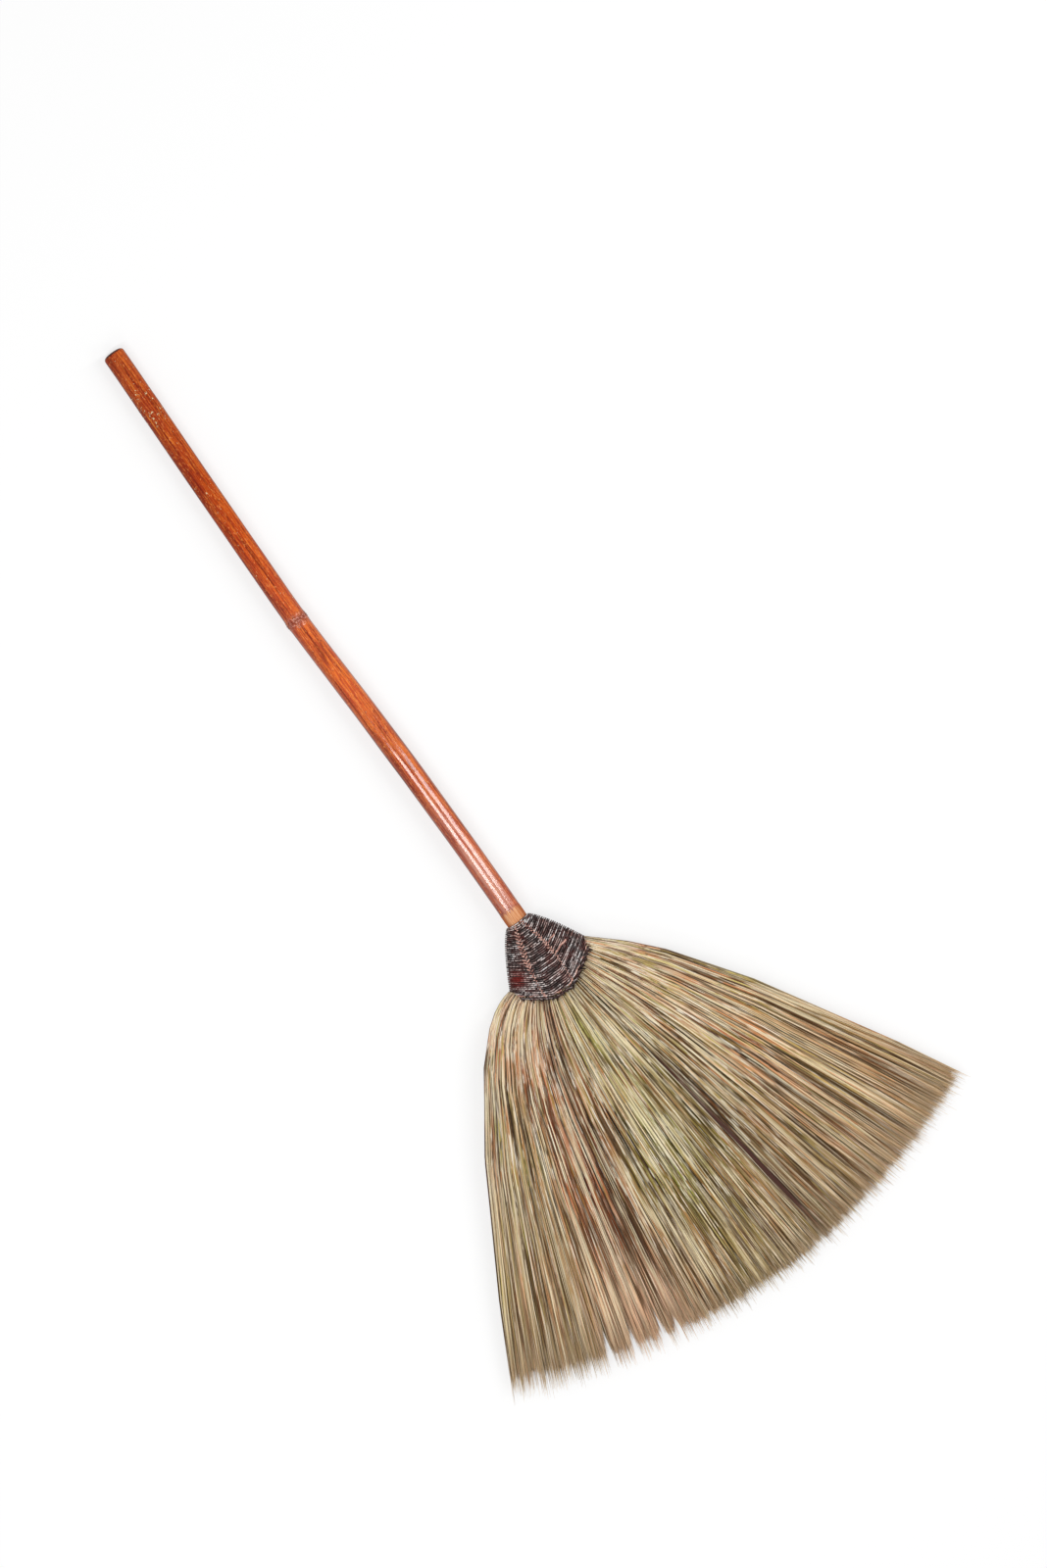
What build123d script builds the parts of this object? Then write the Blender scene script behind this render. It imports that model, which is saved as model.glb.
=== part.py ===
"""A straw broom, lying flat as it rests on a table.

A varnished cane handle runs down between four hanks of fine grass: left, right, front and back.
A dark cord is wound over their stalks and binds them to the handle, a seam cord lies in each parting
between two hanks, and a bamboo peg keeps the handle from pulling out. Below the binding the grass
opens into a wide flat fan. X runs across the fan, Y towards the grip end and Z up from the table.
Distances down the broom are measured from the neck, where the cord begins.
"""

import math
import os

from build123d import *

os.makedirs("parts", exist_ok=True)

# Whole broom
handle_reach = 620.6
fan_reach = 392.0
fan_half_width = 245.0
head_height = 18.6
soft_gap = 0.3

# Cane handle
grip_radius = 10.0
middle_radius = 10.3
lower_radius = 10.3
grip_bevel_long = 4.0
grip_bevel_short = 2.0
grip_side = 3.8
upper_node_above = 331.0
upper_node_side = -2.7
lower_node_above = 190.0
lower_node_side = 1.2
scar_length = 4.0
scar_rise = 0.5
ridge_length = 8.0
ridge_rise = 0.8
foot_depth = 58.0
foot_radius = 7.5
foot_start = 4.0

# Bamboo peg
peg_radius = 2.0
peg_half_length = 10.5
peg_depth = 38.0
peg_clearance = 0.1

# Bound head, measured on the middle of the cord
cord_radius = 1.8
cord_sides = 4
winding_loops = 7
turn_step_share = 0.002
gap_samples = 8
winding_start = 2.0
winding_edge_end = 48.2
winding_middle_end = 73.0
head_edge_depth = 50.0
head_half_width = 41.6
head_half_height = 14.2
shoulder_depth = 12.0
shoulder_share = 0.8
gap_allowance = 0.4

# Stalks inside the binding
stalk_start = 2.5
front_stalk_start = 12.0
stalk_depth_shares = (0.2, 0.5, 1.0)
stalk_sides = 10
stalk_fullness_share = 0.85
rim_centre_depth = 26.0
rim_radius = 46.0
rim_spread_angle = 56.0
rim_flats = 8

# Seam cords, as sideways places where they start, turn and end
seam_radius = 1.0
seam_sides = 4
seam_start = 3.0
seam_turn = 34.0
seam_end = 72.5
left_seam_start = -3.2
left_seam_turn = -13.7
left_seam_end = -19.1
right_seam_start = 1.9
right_seam_turn = 8.6
right_seam_end = 9.5
seam_bend_radius = 90.0

# Grass strands
layers = 6
left_count = 15
middle_count = 15
right_count = 20
layer_order = (0, 3, 1, 4, 2, 5)
root_radius = 44.0
root_width = 1.2
root_half_height = 9.2
root_edge_share = 0.98
root_outer_share = 0.975
middle_root_room = 0.9
knee_radius = 104.0
knee_spread_angle = 59.0
knee_width = 2.8
knee_height = 34.0
tip_arc_radius = 625.0
tip_width = 1.7
tip_height = 15.5
thickness_share = 1.1
ragged_length = 9.0
ragged_step_share = 0.618
floor_cut = 0.5

neck_y = (fan_reach - handle_reach) / 2
side_direction = Vector(1, 0, 0)
upwards = Vector(0, 0, 1)


def at(side, depth, height=0.0):
    """A point at a distance down from the neck and a height above the middle of the head."""
    return Vector(side, neck_y - depth, head_height + height)


def cane_point(side, above_neck):
    """A point on the handle's middle line, which slopes down to lie on the table at the grip."""
    slope = (grip_radius - head_height) / handle_reach
    return Vector(side, neck_y + above_neck, head_height + slope * above_neck)


def joint(start, start_direction, end, end_direction):
    """Where the two arcs of a biarc meet, for unit directions at its ends."""
    span = end - start
    both = start_direction + end_direction
    square = 2 * (start_direction.dot(end_direction) - 1)
    middle = -2 * span.dot(both)
    root = math.sqrt(middle * middle - 4 * square * span.dot(span))
    lengths = ((-middle - root) / (2 * square), (root - middle) / (2 * square))
    reach = min(length for length in lengths if length > 0)
    return (start + start_direction * reach + end - end_direction * reach) / 2


# Cane handle: three straight lengths of cane that bend a little at two nodes
grip_end = cane_point(grip_side, handle_reach)
upper_node = cane_point(upper_node_side, upper_node_above)
lower_node = cane_point(lower_node_side, lower_node_above)
foot_top = cane_point(0, -foot_start)
foot = cane_point(0, -foot_depth)
cane_lengths = (
    (grip_end, upper_node, grip_radius),
    (upper_node, lower_node, middle_radius),
    (lower_node, foot_top, lower_radius),
    (foot_top, foot, foot_radius),
)
peg_plane = Plane(origin=at(0, peg_depth, -peg_half_length))

with BuildPart() as handle:
    for top, bottom, radius in cane_lengths:
        with BuildSketch(Plane(origin=top, x_dir=side_direction, z_dir=bottom - top)):
            Circle(radius)
        extrude(amount=(bottom - top).length)
    chamfer(handle.edges().sort_by(Axis.Y)[-1], grip_bevel_long, grip_bevel_short)
    chamfer(handle.edges().sort_by(Axis.Y)[-1], grip_bevel_short, grip_bevel_long)
    for above, node in ((grip_end, upper_node), (upper_node, lower_node)):
        along = (node - above).normalized()
        across = upwards.cross(along).normalized()
        with BuildSketch(Plane(origin=node, x_dir=across, z_dir=across.cross(along))):
            with BuildLine():
                Polyline(
                    (0, -scar_length),
                    (middle_radius + scar_rise, -scar_length),
                    (middle_radius + ridge_rise, scar_length),
                    (middle_radius, ridge_length),
                    (0, ridge_length),
                    close=True,
                )
            make_face()
        revolve(axis=Axis(node, along))
    with BuildSketch(peg_plane):
        Circle(peg_radius + peg_clearance)
    extrude(amount=2 * peg_half_length, mode=Mode.SUBTRACT)
handle.part.label = "handle"
export_step(handle.part, "parts/handle.step")

# Bamboo peg, driven through the handle inside the head
with BuildPart() as handle_peg:
    with BuildSketch(peg_plane):
        Circle(peg_radius)
    extrude(amount=2 * peg_half_length)
handle_peg.part.label = "handle_peg"
export_step(handle_peg.part, "parts/handle_peg.step")


# Shape of the bound head
def half_width(depth):
    """Half the head's width, on the middle of the cord, at a distance down from the neck."""
    neck = lower_radius + cord_radius + soft_gap
    return neck + (head_half_width - neck) * (depth / head_edge_depth) ** shoulder_share


def half_height(depth):
    """Half the head's thickness, on the middle of the cord."""
    neck = lower_radius + cord_radius + soft_gap
    return head_half_height - (head_half_height - neck) * math.exp(-depth / shoulder_depth)


# Winding: one unbroken cord, from the neck down to the rim, bowed as the rows of the head are
def winding_point(turn):
    """A point on the middle of the cord. Whole and half turns are the head's two edges."""
    wound = turn / winding_loops
    edge_depth = winding_start + (winding_edge_end - winding_start) * wound
    middle_depth = winding_start + (winding_middle_end - winding_start) * wound
    across = math.cos(2 * math.pi * turn)
    depth = middle_depth - (middle_depth - edge_depth) * across * across
    return at(across * half_width(edge_depth), depth, half_height(depth) * math.sin(2 * math.pi * turn))


def winding_direction(turn):
    """The unit direction of the cord."""
    ahead = winding_point(turn + turn_step_share)
    behind = winding_point(turn - turn_step_share)
    return (ahead - behind).normalized()


quarter_turns = [quarter / 4 for quarter in range(4 * winding_loops + 1)]
cord_start = winding_point(0)
cord_end = winding_point(winding_loops)
with BuildPart() as cord_winding:
    with BuildLine() as winding_path:
        Line(cord_start - winding_direction(0) * 2 * cord_radius, cord_start)
        for begin, finish in zip(quarter_turns, quarter_turns[1:]):
            first, last = winding_point(begin), winding_point(finish)
            meeting = joint(first, winding_direction(begin), last, winding_direction(finish))
            arc = TangentArc(first, meeting, tangent=winding_direction(begin))
            TangentArc(meeting, last, tangent=arc % 1)
        Line(cord_end, cord_end + winding_direction(winding_loops) * 2 * cord_radius)
    with BuildSketch(Plane(origin=winding_path.line @ 0, z_dir=winding_path.line % 0)):
        RegularPolygon(cord_radius, cord_sides)
    sweep(clean=False)
cord_winding.part.label = "cord_winding"
export_step(cord_winding.part, "parts/cord_winding.step")

# Least gap of the winding to itself, between points that are at least three arcs apart
samples = [edge @ (place / gap_samples) for edge in winding_path.edges() for place in range(gap_samples)]
least = min(
    (one - other).length
    for number, one in enumerate(samples)
    for other in samples[number + 3 * gap_samples:]
)
tightest = min(edge.radius for edge in winding_path.edges().filter_by(GeomType.CIRCLE))
print("winding: least gap to itself", round(least - 2 * cord_radius, 2), "tightest radius", round(tightest, 1))
print("winding: volume", round(cord_winding.part.volume, 1))

# Stalks of all the hanks together, as they fill the binding, with room for the handle and the peg
stalk_inset = cord_radius + soft_gap + gap_allowance
stalk_depths = [stalk_start] + [share * head_edge_depth for share in stalk_depth_shares]
rim_leans = [math.radians(rim_spread_angle * (1 - 2 * flat / rim_flats)) for flat in range(rim_flats + 1)]
rim_outline = [
    (rim_radius * math.sin(lean), neck_y - rim_centre_depth - rim_radius * math.cos(lean))
    for lean in rim_leans
]


def rounded(share):
    """A share of the way out to the side of a section that is fuller than an ellipse."""
    return math.copysign(abs(share) ** stalk_fullness_share, share)


def stalk_section(depth):
    """The corners of the stalks' section, inside the cord, at a distance down from the neck."""
    side = half_width(min(depth, head_edge_depth)) - stalk_inset
    rise = half_height(depth) - stalk_inset
    turns = [2 * math.pi * (corner + 0.5) / stalk_sides for corner in range(stalk_sides)]
    return [(side * rounded(math.cos(turn)), rise * rounded(math.sin(turn))) for turn in turns]


with BuildPart() as stalks:
    for depth in stalk_depths + [rim_centre_depth + rim_radius]:
        with BuildSketch(Plane(origin=at(0, depth), x_dir=side_direction, z_dir=(0, -1, 0))):
            with BuildLine():
                Polyline(*stalk_section(depth), close=True)
            make_face()
    loft(ruled=True)
    with BuildSketch():
        with BuildLine():
            Polyline(
                *rim_outline,
                (-head_half_width, rim_outline[-1][1]),
                (-head_half_width, neck_y),
                (head_half_width, neck_y),
                (head_half_width, rim_outline[0][1]),
                close=True,
            )
        make_face()
    extrude(amount=2 * head_height, mode=Mode.INTERSECT)
    for top, bottom, radius in cane_lengths[2:]:
        with BuildSketch(Plane(origin=top, x_dir=side_direction, z_dir=bottom - top)):
            Circle(radius + soft_gap)
        extrude(amount=(bottom - top).length + soft_gap, mode=Mode.SUBTRACT)
    with BuildSketch(peg_plane.offset(-soft_gap)):
        Circle(peg_radius + soft_gap)
    extrude(amount=2 * (peg_half_length + soft_gap), mode=Mode.SUBTRACT)


# Grass
def tuft(places, widths, outwards):
    """A closed three-sided tuft through places along it. Its sections all face outwards, so its sides are flat."""
    across = outwards.cross(upwards)
    rings = []
    for place, width in zip(places, widths):
        half, rise = across * (width / 2), upwards * (width * thickness_share / 2)
        rings.append((place - half - rise, place + half - rise, place + rise))
    skin = [Face(Wire.make_polygon(ring)) for ring in (rings[0], rings[-1])]
    for ring, following in zip(rings, rings[1:]):
        for corner in range(3):
            skin.append(Face(Wire.make_polygon((ring[corner - 1], ring[corner], following[corner], following[corner - 1]))))
    return Solid(Shell(skin))


def strand(root_share, share, layer, rag):
    """One tuft of grass, from its root among the stalks past the knee of the fan to its tip.

    Shares run from -1 at the fan's left edge to 1 at its right edge, layers from 0 at the bottom to 1.
    """
    lean = math.radians(rim_spread_angle * root_share)
    knee_lean = math.radians(knee_spread_angle * share)
    tip_lean = share * math.asin(fan_half_width / tip_arc_radius)
    tip_radius = tip_arc_radius - ragged_length * rag
    root_rise = root_half_height * math.sqrt(1 - (root_edge_share * root_share) ** 4)
    root = at(
        root_radius * math.sin(lean),
        rim_centre_depth + root_radius * math.cos(lean),
        root_rise * (2 * layer - 1),
    )
    knee_low = knee_width * thickness_share / 2 - floor_cut
    knee = Vector(
        knee_radius * math.sin(knee_lean),
        neck_y - rim_centre_depth - knee_radius * math.cos(knee_lean),
        knee_low + (knee_height - knee_low) * layer,
    )
    tip_low = tip_width * thickness_share / 2 - floor_cut
    tip = Vector(
        tip_radius * math.sin(tip_lean),
        neck_y - fan_reach + tip_arc_radius - tip_radius * math.cos(tip_lean),
        tip_low + (tip_height - tip_low) * layer,
    )
    outwards = Vector(tip.X - root.X, tip.Y - root.Y).normalized()
    return tuft((root, knee, tip), (root_width, knee_width, tip_width), outwards)


def parting(start_side, end_side, gap):
    """A standing plane along a seam, moved sideways by a gap, that faces the broom's right."""
    start = at(start_side + gap, seam_start)
    end = at(end_side + gap, seam_end)
    return Plane(origin=start, x_dir=start - end, z_dir=(start - end).cross(upwards))


def seam_share(start_side, end_side, gap):
    """Where a parting crosses the circle of the roots, as a share of the fan's spread."""
    slope = (end_side - start_side) / (seam_end - seam_start)
    side = start_side + gap + slope * (rim_centre_depth + root_radius - seam_start)
    return math.degrees(math.asin(side / root_radius)) / rim_spread_angle


def strands(root_range, fan_range, count, first_layer, last_layer):
    """The tufts of one hank, each layer shifted a little against the next."""
    made = []
    for layer in range(first_layer, last_layer):
        for number in range(count):
            place = (number + (layer_order[layer] + 0.5) / layers) / count
            root_share = root_range[0] + (root_range[1] - root_range[0]) * place
            fan_share = fan_range[0] + (fan_range[1] - fan_range[0]) * place
            rag = ((number * layers + layer_order[layer]) * ragged_step_share) % 1
            made.append(strand(root_share, fan_share, layer / (layers - 1), rag))
    return made


root_room = root_width / 2 + soft_gap
left_seam = (left_seam_start, left_seam_end)
right_seam = (right_seam_start, right_seam_end)
left_parting = seam_share(*left_seam, 0)
right_parting = seam_share(*right_seam, 0)
left_roots = (-root_outer_share, seam_share(*left_seam, -root_room))
middle_room = root_room + middle_root_room
middle_roots = (seam_share(*left_seam, middle_room), seam_share(*right_seam, -middle_room))
right_roots = (seam_share(*right_seam, root_room), root_outer_share)

with BuildPart() as hank_left:
    add(stalks.part)
    split(bisect_by=parting(*left_seam, -soft_gap / 2), keep=Keep.BOTTOM)
    add(strands(left_roots, (-1, left_parting), left_count, 0, layers))
    split(bisect_by=Plane.XY)
hank_left.part.label = "hank_left"
export_step(hank_left.part, "parts/hank_left.step")

with BuildPart() as hank_right:
    add(stalks.part)
    split(bisect_by=parting(*right_seam, soft_gap / 2), keep=Keep.TOP)
    add(strands(right_roots, (right_parting, 1), right_count, 0, layers))
    split(bisect_by=Plane.XY)
hank_right.part.label = "hank_right"
export_step(hank_right.part, "parts/hank_right.step")

front_plane = Plane(origin=at(0, front_stalk_start), z_dir=(0, -1, 0))
with BuildPart() as hank_front:
    add(stalks.part)
    split(bisect_by=parting(*left_seam, soft_gap / 2), keep=Keep.TOP)
    split(bisect_by=parting(*right_seam, -soft_gap / 2), keep=Keep.BOTTOM)
    split(bisect_by=front_plane, keep=Keep.TOP)
    split(bisect_by=Plane(origin=at(0, 0, soft_gap / 2)))
    add(strands(middle_roots, (left_parting, right_parting), middle_count, layers // 2, layers))
hank_front.part.label = "hank_front"
export_step(hank_front.part, "parts/hank_front.step")

with BuildPart() as hank_back:
    add(stalks.part)
    split(bisect_by=parting(*left_seam, soft_gap / 2), keep=Keep.TOP)
    split(bisect_by=parting(*right_seam, -soft_gap / 2), keep=Keep.BOTTOM)
    split(bisect_by=front_plane, keep=Keep.TOP)
    split(bisect_by=Plane(origin=at(0, 0, -soft_gap / 2)), keep=Keep.BOTTOM)
    add(strands(middle_roots, (left_parting, right_parting), middle_count, 0, layers // 2))
    split(bisect_by=Plane.XY)
hank_back.part.label = "hank_back"
export_step(hank_back.part, "parts/hank_back.step")


# Seam cords, one along each parting on the front and on the back
def seam_cord(sides, face):
    """A cord that lies on the winding, face 1 on the front and -1 on the back."""
    lift = cord_radius + soft_gap + seam_radius
    places = tuple(
        at(side, depth, face * (half_height(depth) + lift))
        for side, depth in zip(sides, (seam_start, seam_turn, seam_end))
    )
    with BuildPart() as cord:
        with BuildLine() as route:
            FilletPolyline(*places, radius=seam_bend_radius)
        with BuildSketch(Plane(origin=route.line @ 0, z_dir=route.line % 0)):
            RegularPolygon(seam_radius, seam_sides)
        sweep()
    return cord.part


left_sides = (left_seam_start, left_seam_turn, left_seam_end)
right_sides = (right_seam_start, right_seam_turn, right_seam_end)
for label, sides, face in (
    ("seam_front_left", left_sides, 1),
    ("seam_front_right", right_sides, 1),
    ("seam_back_left", left_sides, -1),
    ("seam_back_right", right_sides, -1),
):
    seam = seam_cord(sides, face)
    seam.label = label
    export_step(seam, f"parts/{label}.step")
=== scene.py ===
# %% [markdown]
# # A straw broom
#
# The broom lies flat: a varnished cane handle, four hanks of fine grass, and a head of dark cord that is
# wound over their stalks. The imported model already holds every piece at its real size. This lesson keeps
# that frame and builds the looks around it: a smooth cane with its nodes, the many rows of cord, the
# seams, and thousands of fine stems.
#
# We start by loading the frame. Nothing in it is ever moved.

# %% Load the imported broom
import math

import bpy
import numpy as np
from mathutils import Matrix, Vector


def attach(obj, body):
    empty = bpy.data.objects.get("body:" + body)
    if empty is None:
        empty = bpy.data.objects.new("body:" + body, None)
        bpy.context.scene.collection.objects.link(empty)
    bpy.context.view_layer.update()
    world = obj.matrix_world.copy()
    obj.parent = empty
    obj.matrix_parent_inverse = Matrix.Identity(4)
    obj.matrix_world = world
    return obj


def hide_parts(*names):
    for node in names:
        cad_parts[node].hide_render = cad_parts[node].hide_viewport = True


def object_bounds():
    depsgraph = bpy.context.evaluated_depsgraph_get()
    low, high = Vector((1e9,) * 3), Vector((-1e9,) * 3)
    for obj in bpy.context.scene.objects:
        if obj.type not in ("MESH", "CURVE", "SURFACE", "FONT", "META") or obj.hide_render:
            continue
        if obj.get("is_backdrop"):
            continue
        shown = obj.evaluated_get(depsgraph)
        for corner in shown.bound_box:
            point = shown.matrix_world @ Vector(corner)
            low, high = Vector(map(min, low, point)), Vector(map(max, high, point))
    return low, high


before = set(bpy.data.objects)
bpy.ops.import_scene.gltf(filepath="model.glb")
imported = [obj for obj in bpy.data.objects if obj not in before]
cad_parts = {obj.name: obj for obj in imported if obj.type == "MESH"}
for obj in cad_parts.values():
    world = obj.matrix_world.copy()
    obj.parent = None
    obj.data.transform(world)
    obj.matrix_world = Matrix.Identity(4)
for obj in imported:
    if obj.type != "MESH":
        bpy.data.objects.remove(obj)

cad_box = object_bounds()
print("nodes:", sorted(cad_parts))
print("size of the solids in metres:", [round(high - low, 4) for low, high in zip(*cad_box)])

# %% [markdown]
# ## Places on the broom
#
# It helps to measure the way the maker does: down the broom from the neck, where the cord begins,
# sideways from the middle, and up or down from the middle of the head. One small function turns these
# three into places in the frame.

# %% Sizes and places
handle_reach = 0.6206
fan_reach = 0.392
head_height = 0.0186
neck_y = (fan_reach - handle_reach) / 2


def at(side, depth, height=0.0):
    """Places by their distances sideways, down from the neck and above the middle of the head."""
    side, depth, height = np.broadcast_arrays(side, depth, height)
    return np.stack((side, neck_y - depth, head_height + height), axis=-1).astype(float)


print("the neck is at", [round(float(value), 4) for value in at(0, 0)])

# %% [markdown]
# ## Camera
#
# The photograph looks squarely onto the broad face, with no perspective to be seen. A camera far away
# with a long lens does the same. It looks straight down and is turned, so that the handle points to the
# upper left.

# %% Camera over the broom
photo_width_pixels = 1068
photo_height_pixels = 1600
neck_pixel = (528, 940)
metres_per_pixel = 0.00087
broom_turn = math.radians(35.83)
camera_distance = 8.0
sensor_width_mm = 36.0

image_right = Vector((math.cos(broom_turn), -math.sin(broom_turn), 0))
image_up = Vector((math.sin(broom_turn), math.cos(broom_turn), 0))
rightward = (photo_width_pixels / 2 - neck_pixel[0]) * metres_per_pixel
upward = (neck_pixel[1] - photo_height_pixels / 2) * metres_per_pixel
photo_centre = Vector(at(0, 0)) + image_right * rightward + image_up * upward

camera = bpy.data.objects.new("camera", bpy.data.cameras.new("camera"))
bpy.context.scene.collection.objects.link(camera)
turn = Matrix((image_right, image_up, Vector((0, 0, 1)))).transposed()
camera.matrix_world = Matrix.Translation(photo_centre + Vector((0, 0, camera_distance))) @ turn.to_4x4()
camera.data.sensor_width = sensor_width_mm
camera.data.lens = sensor_width_mm * camera_distance / (photo_height_pixels * metres_per_pixel)
bpy.context.scene.camera = camera
bpy.context.scene.view_settings.view_transform = "Standard"
print("lens in mm:", round(camera.data.lens, 1))

# %% [markdown]
# ## Helpers for finishes
#
# A finish is a small tree of nodes. Each helper adds one node and gives back its socket for the next
# call. They all work on `tree`, the tree of the finish that is being made at that time.
#
# The first helpers are about colours, which we write as a picture programme shows them, from 0 to 255.


# %% Colours and ramps
def finish_of(name):
    """A new material with its tree and its main shader."""
    material = bpy.data.materials.new(name)
    material.use_nodes = True
    return material, material.node_tree, material.node_tree.nodes["Principled BSDF"]


def linear(red, green, blue):
    """A colour as a picture programme shows it, from 0 to 255, turned into light."""
    shares = [value / 255 for value in (red, green, blue)]
    return tuple(v / 12.92 if v < 0.04045 else ((v + 0.055) / 1.055) ** 2.4 for v in shares)


def join(value, socket):
    """Feeds a socket from another one or with a plain value."""
    if isinstance(value, bpy.types.NodeSocket):
        tree.links.new(value, socket)
    elif isinstance(value, tuple) and len(value) == 3 and socket.type == "RGBA":
        socket.default_value = (*value, 1.0)
    else:
        socket.default_value = value


def ramp(factor, *stops):
    """A colour ramp over stops, each one a place with its red, green and blue."""
    made = tree.nodes.new("ShaderNodeValToRGB")
    elements = made.color_ramp.elements
    while len(elements) < len(stops):
        elements.new(1.0)
    for element, (place, *shades) in zip(elements, stops):
        element.position = place
        element.color = (*linear(*shades), 1.0)
    join(factor, made.inputs["Fac"])
    return made.outputs["Color"]


def blend(kind, factor, first, second):
    """Two colours blended."""
    made = tree.nodes.new("ShaderNodeMix")
    made.data_type = "RGBA"
    made.blend_type = kind
    join(factor, made.inputs[0])
    join(first, made.inputs[6])
    join(second, made.inputs[7])
    return made.outputs[2]


def over(colour, share, *tint):
    """A colour with a tint laid over a share of it. The tint is its red, green and blue."""
    return blend("MIX", share, colour, linear(*tint))


def stained(colour, share, *tint):
    """A colour darkened by a tint, the way a stain darkens wood."""
    return blend("MULTIPLY", share, colour, linear(*tint))


print("a mid grey of 128 is", round(linear(128, 128, 128)[0], 3), "as light")

# %% [markdown]
# ## Places and patterns
#
# A pattern needs places to read. They are metres in the frame of the broom, or numbers that a mesh
# carries itself, such as how far along a cord a point lies.


# %% Places and patterns
def noise(vector, detail=3.0, roughness=0.5):
    """A noise pattern, around a half. The places given set how fine it is."""
    made = tree.nodes.new("ShaderNodeTexNoise")
    join(1.0, made.inputs["Scale"])
    join(detail, made.inputs["Detail"])
    join(roughness, made.inputs["Roughness"])
    join(vector, made.inputs["Vector"])
    return made.outputs["Fac"]


def scaled(vector, scale, location=(0, 0, 0)):
    """Coordinates stretched by a scale for each axis, and moved."""
    made = tree.nodes.new("ShaderNodeMapping")
    made.inputs["Scale"].default_value = scale
    made.inputs["Location"].default_value = location
    join(vector, made.inputs["Vector"])
    return made.outputs["Vector"]


def together(x, y, z):
    """Three numbers joined into coordinates."""
    made = tree.nodes.new("ShaderNodeCombineXYZ")
    for value, socket in zip((x, y, z), made.inputs):
        join(value, socket)
    return made.outputs["Vector"]


def part_of(vector, axis):
    """One of the three numbers of coordinates."""
    made = tree.nodes.new("ShaderNodeSeparateXYZ")
    join(vector, made.inputs["Vector"])
    return made.outputs[axis]


def places():
    """Object coordinates, which are metres in the frame of the broom."""
    return tree.nodes.new("ShaderNodeTexCoord").outputs["Object"]


def value_of(name):
    """A number that the mesh carries for each of its corners."""
    made = tree.nodes.new("ShaderNodeAttribute")
    made.attribute_name = name
    return made.outputs["Fac"]


print("patterns ready")

# %% [markdown]
# ## Sums and steps
#
# Numbers are added, multiplied and bent into steps, humps and bumps.


# %% Sums and steps
def sums(operation, *values):
    """One sum on numbers."""
    made = tree.nodes.new("ShaderNodeMath")
    made.operation = operation
    for value, socket in zip(values, made.inputs):
        join(value, socket)
    return made.outputs[0]


def times(first, second):
    """Two numbers multiplied."""
    return sums("MULTIPLY", first, second)


def rise(value, low, high, start=0.0, end=1.0):
    """A smooth step from start at low to end at high, level beyond both."""
    made = tree.nodes.new("ShaderNodeMapRange")
    made.interpolation_type = "SMOOTHSTEP"
    join(value, made.inputs["Value"])
    made.inputs["From Min"].default_value = low
    made.inputs["From Max"].default_value = high
    made.inputs["To Min"].default_value = start
    made.inputs["To Max"].default_value = end
    return made.outputs["Result"]


def hump(value, middle, half_width):
    """One at the middle, falling to none at a half width to both sides."""
    off = sums("ABSOLUTE", sums("SUBTRACT", value, middle))
    return rise(off, 0.0, half_width, 1.0, 0.0)


def relief(shader, height, distance, strength=1.0):
    """Bumps from a height pattern, with the distance in metres."""
    made = tree.nodes.new("ShaderNodeBump")
    made.inputs["Strength"].default_value = strength
    made.inputs["Distance"].default_value = distance
    join(height, made.inputs["Height"])
    tree.links.new(made.outputs["Normal"], shader.inputs["Normal"])


def surface(shader, colour, roughness, specular=0.5):
    """Sets a finish's colour, its roughness and the strength of its plain gloss."""
    tree.links.new(colour, shader.inputs["Base Color"])
    shader.inputs["Roughness"].default_value = roughness
    shader.inputs["Specular IOR Level"].default_value = specular


print("sums ready")

# %% [markdown]
# ## Floor and light
#
# The photo has a white ground and soft light from all around. A pale floor takes the soft shadow. What
# the camera sees of floor and sky is white paper, which is lit evenly enough to stay white.


# %% Floor and sky
def for_white_ground():
    """One for the rays that should meet a white ground: from the camera, off gloss and through glass."""
    ray = tree.nodes.new("ShaderNodeLightPath")
    seen = sums("MAXIMUM", ray.outputs["Is Camera Ray"], ray.outputs["Is Glossy Ray"])
    return sums("MAXIMUM", seen, ray.outputs["Is Transmission Ray"])


def mixed(share, first, second):
    """Two shaders mixed."""
    made = tree.nodes.new("ShaderNodeMixShader")
    join(share, made.inputs["Fac"])
    tree.links.new(first, made.inputs[1])
    tree.links.new(second, made.inputs[2])
    return made.outputs["Shader"]


bpy.ops.object.select_all(action="DESELECT")
bpy.ops.mesh.primitive_plane_add(size=30, location=(0, 0, -0.0006))
floor = bpy.context.object
floor.name = "floor"
paper, tree, shader = finish_of("floor_paper")
shader.inputs["Base Color"].default_value = (0.8, 0.8, 0.8, 1)
shader.inputs["Roughness"].default_value = 0.9
shader.inputs["Specular IOR Level"].default_value = 0.0
white_paper = tree.nodes.new("ShaderNodeBsdfDiffuse")
white_paper.inputs["Color"].default_value = (1, 1, 1, 1)
white_light = tree.nodes.new("ShaderNodeEmission")
seen_paper = mixed(0.65, white_paper.outputs["BSDF"], white_light.outputs["Emission"])
paper_choice = mixed(for_white_ground(), shader.outputs["BSDF"], seen_paper)
tree.links.new(paper_choice, tree.nodes["Material Output"].inputs["Surface"])
floor.data.materials.append(paper)
floor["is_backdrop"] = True

sky = bpy.data.worlds.new("sky")
sky.use_nodes = True
bpy.context.scene.world = sky
tree = sky.node_tree
sky_light = tree.nodes["Background"]
sky_light.inputs["Color"].default_value = (1, 1, 1, 1)
sky_light.inputs["Strength"].default_value = 0.50
white_sky = tree.nodes.new("ShaderNodeBackground")
white_sky.inputs["Color"].default_value = (1, 1, 1, 1)
white_sky.inputs["Strength"].default_value = 1.0
white_share = for_white_ground()
sky_choice = mixed(white_share, sky_light.outputs["Background"], white_sky.outputs["Background"])
tree.links.new(sky_choice, tree.nodes["World Output"].inputs["Surface"])
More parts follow.
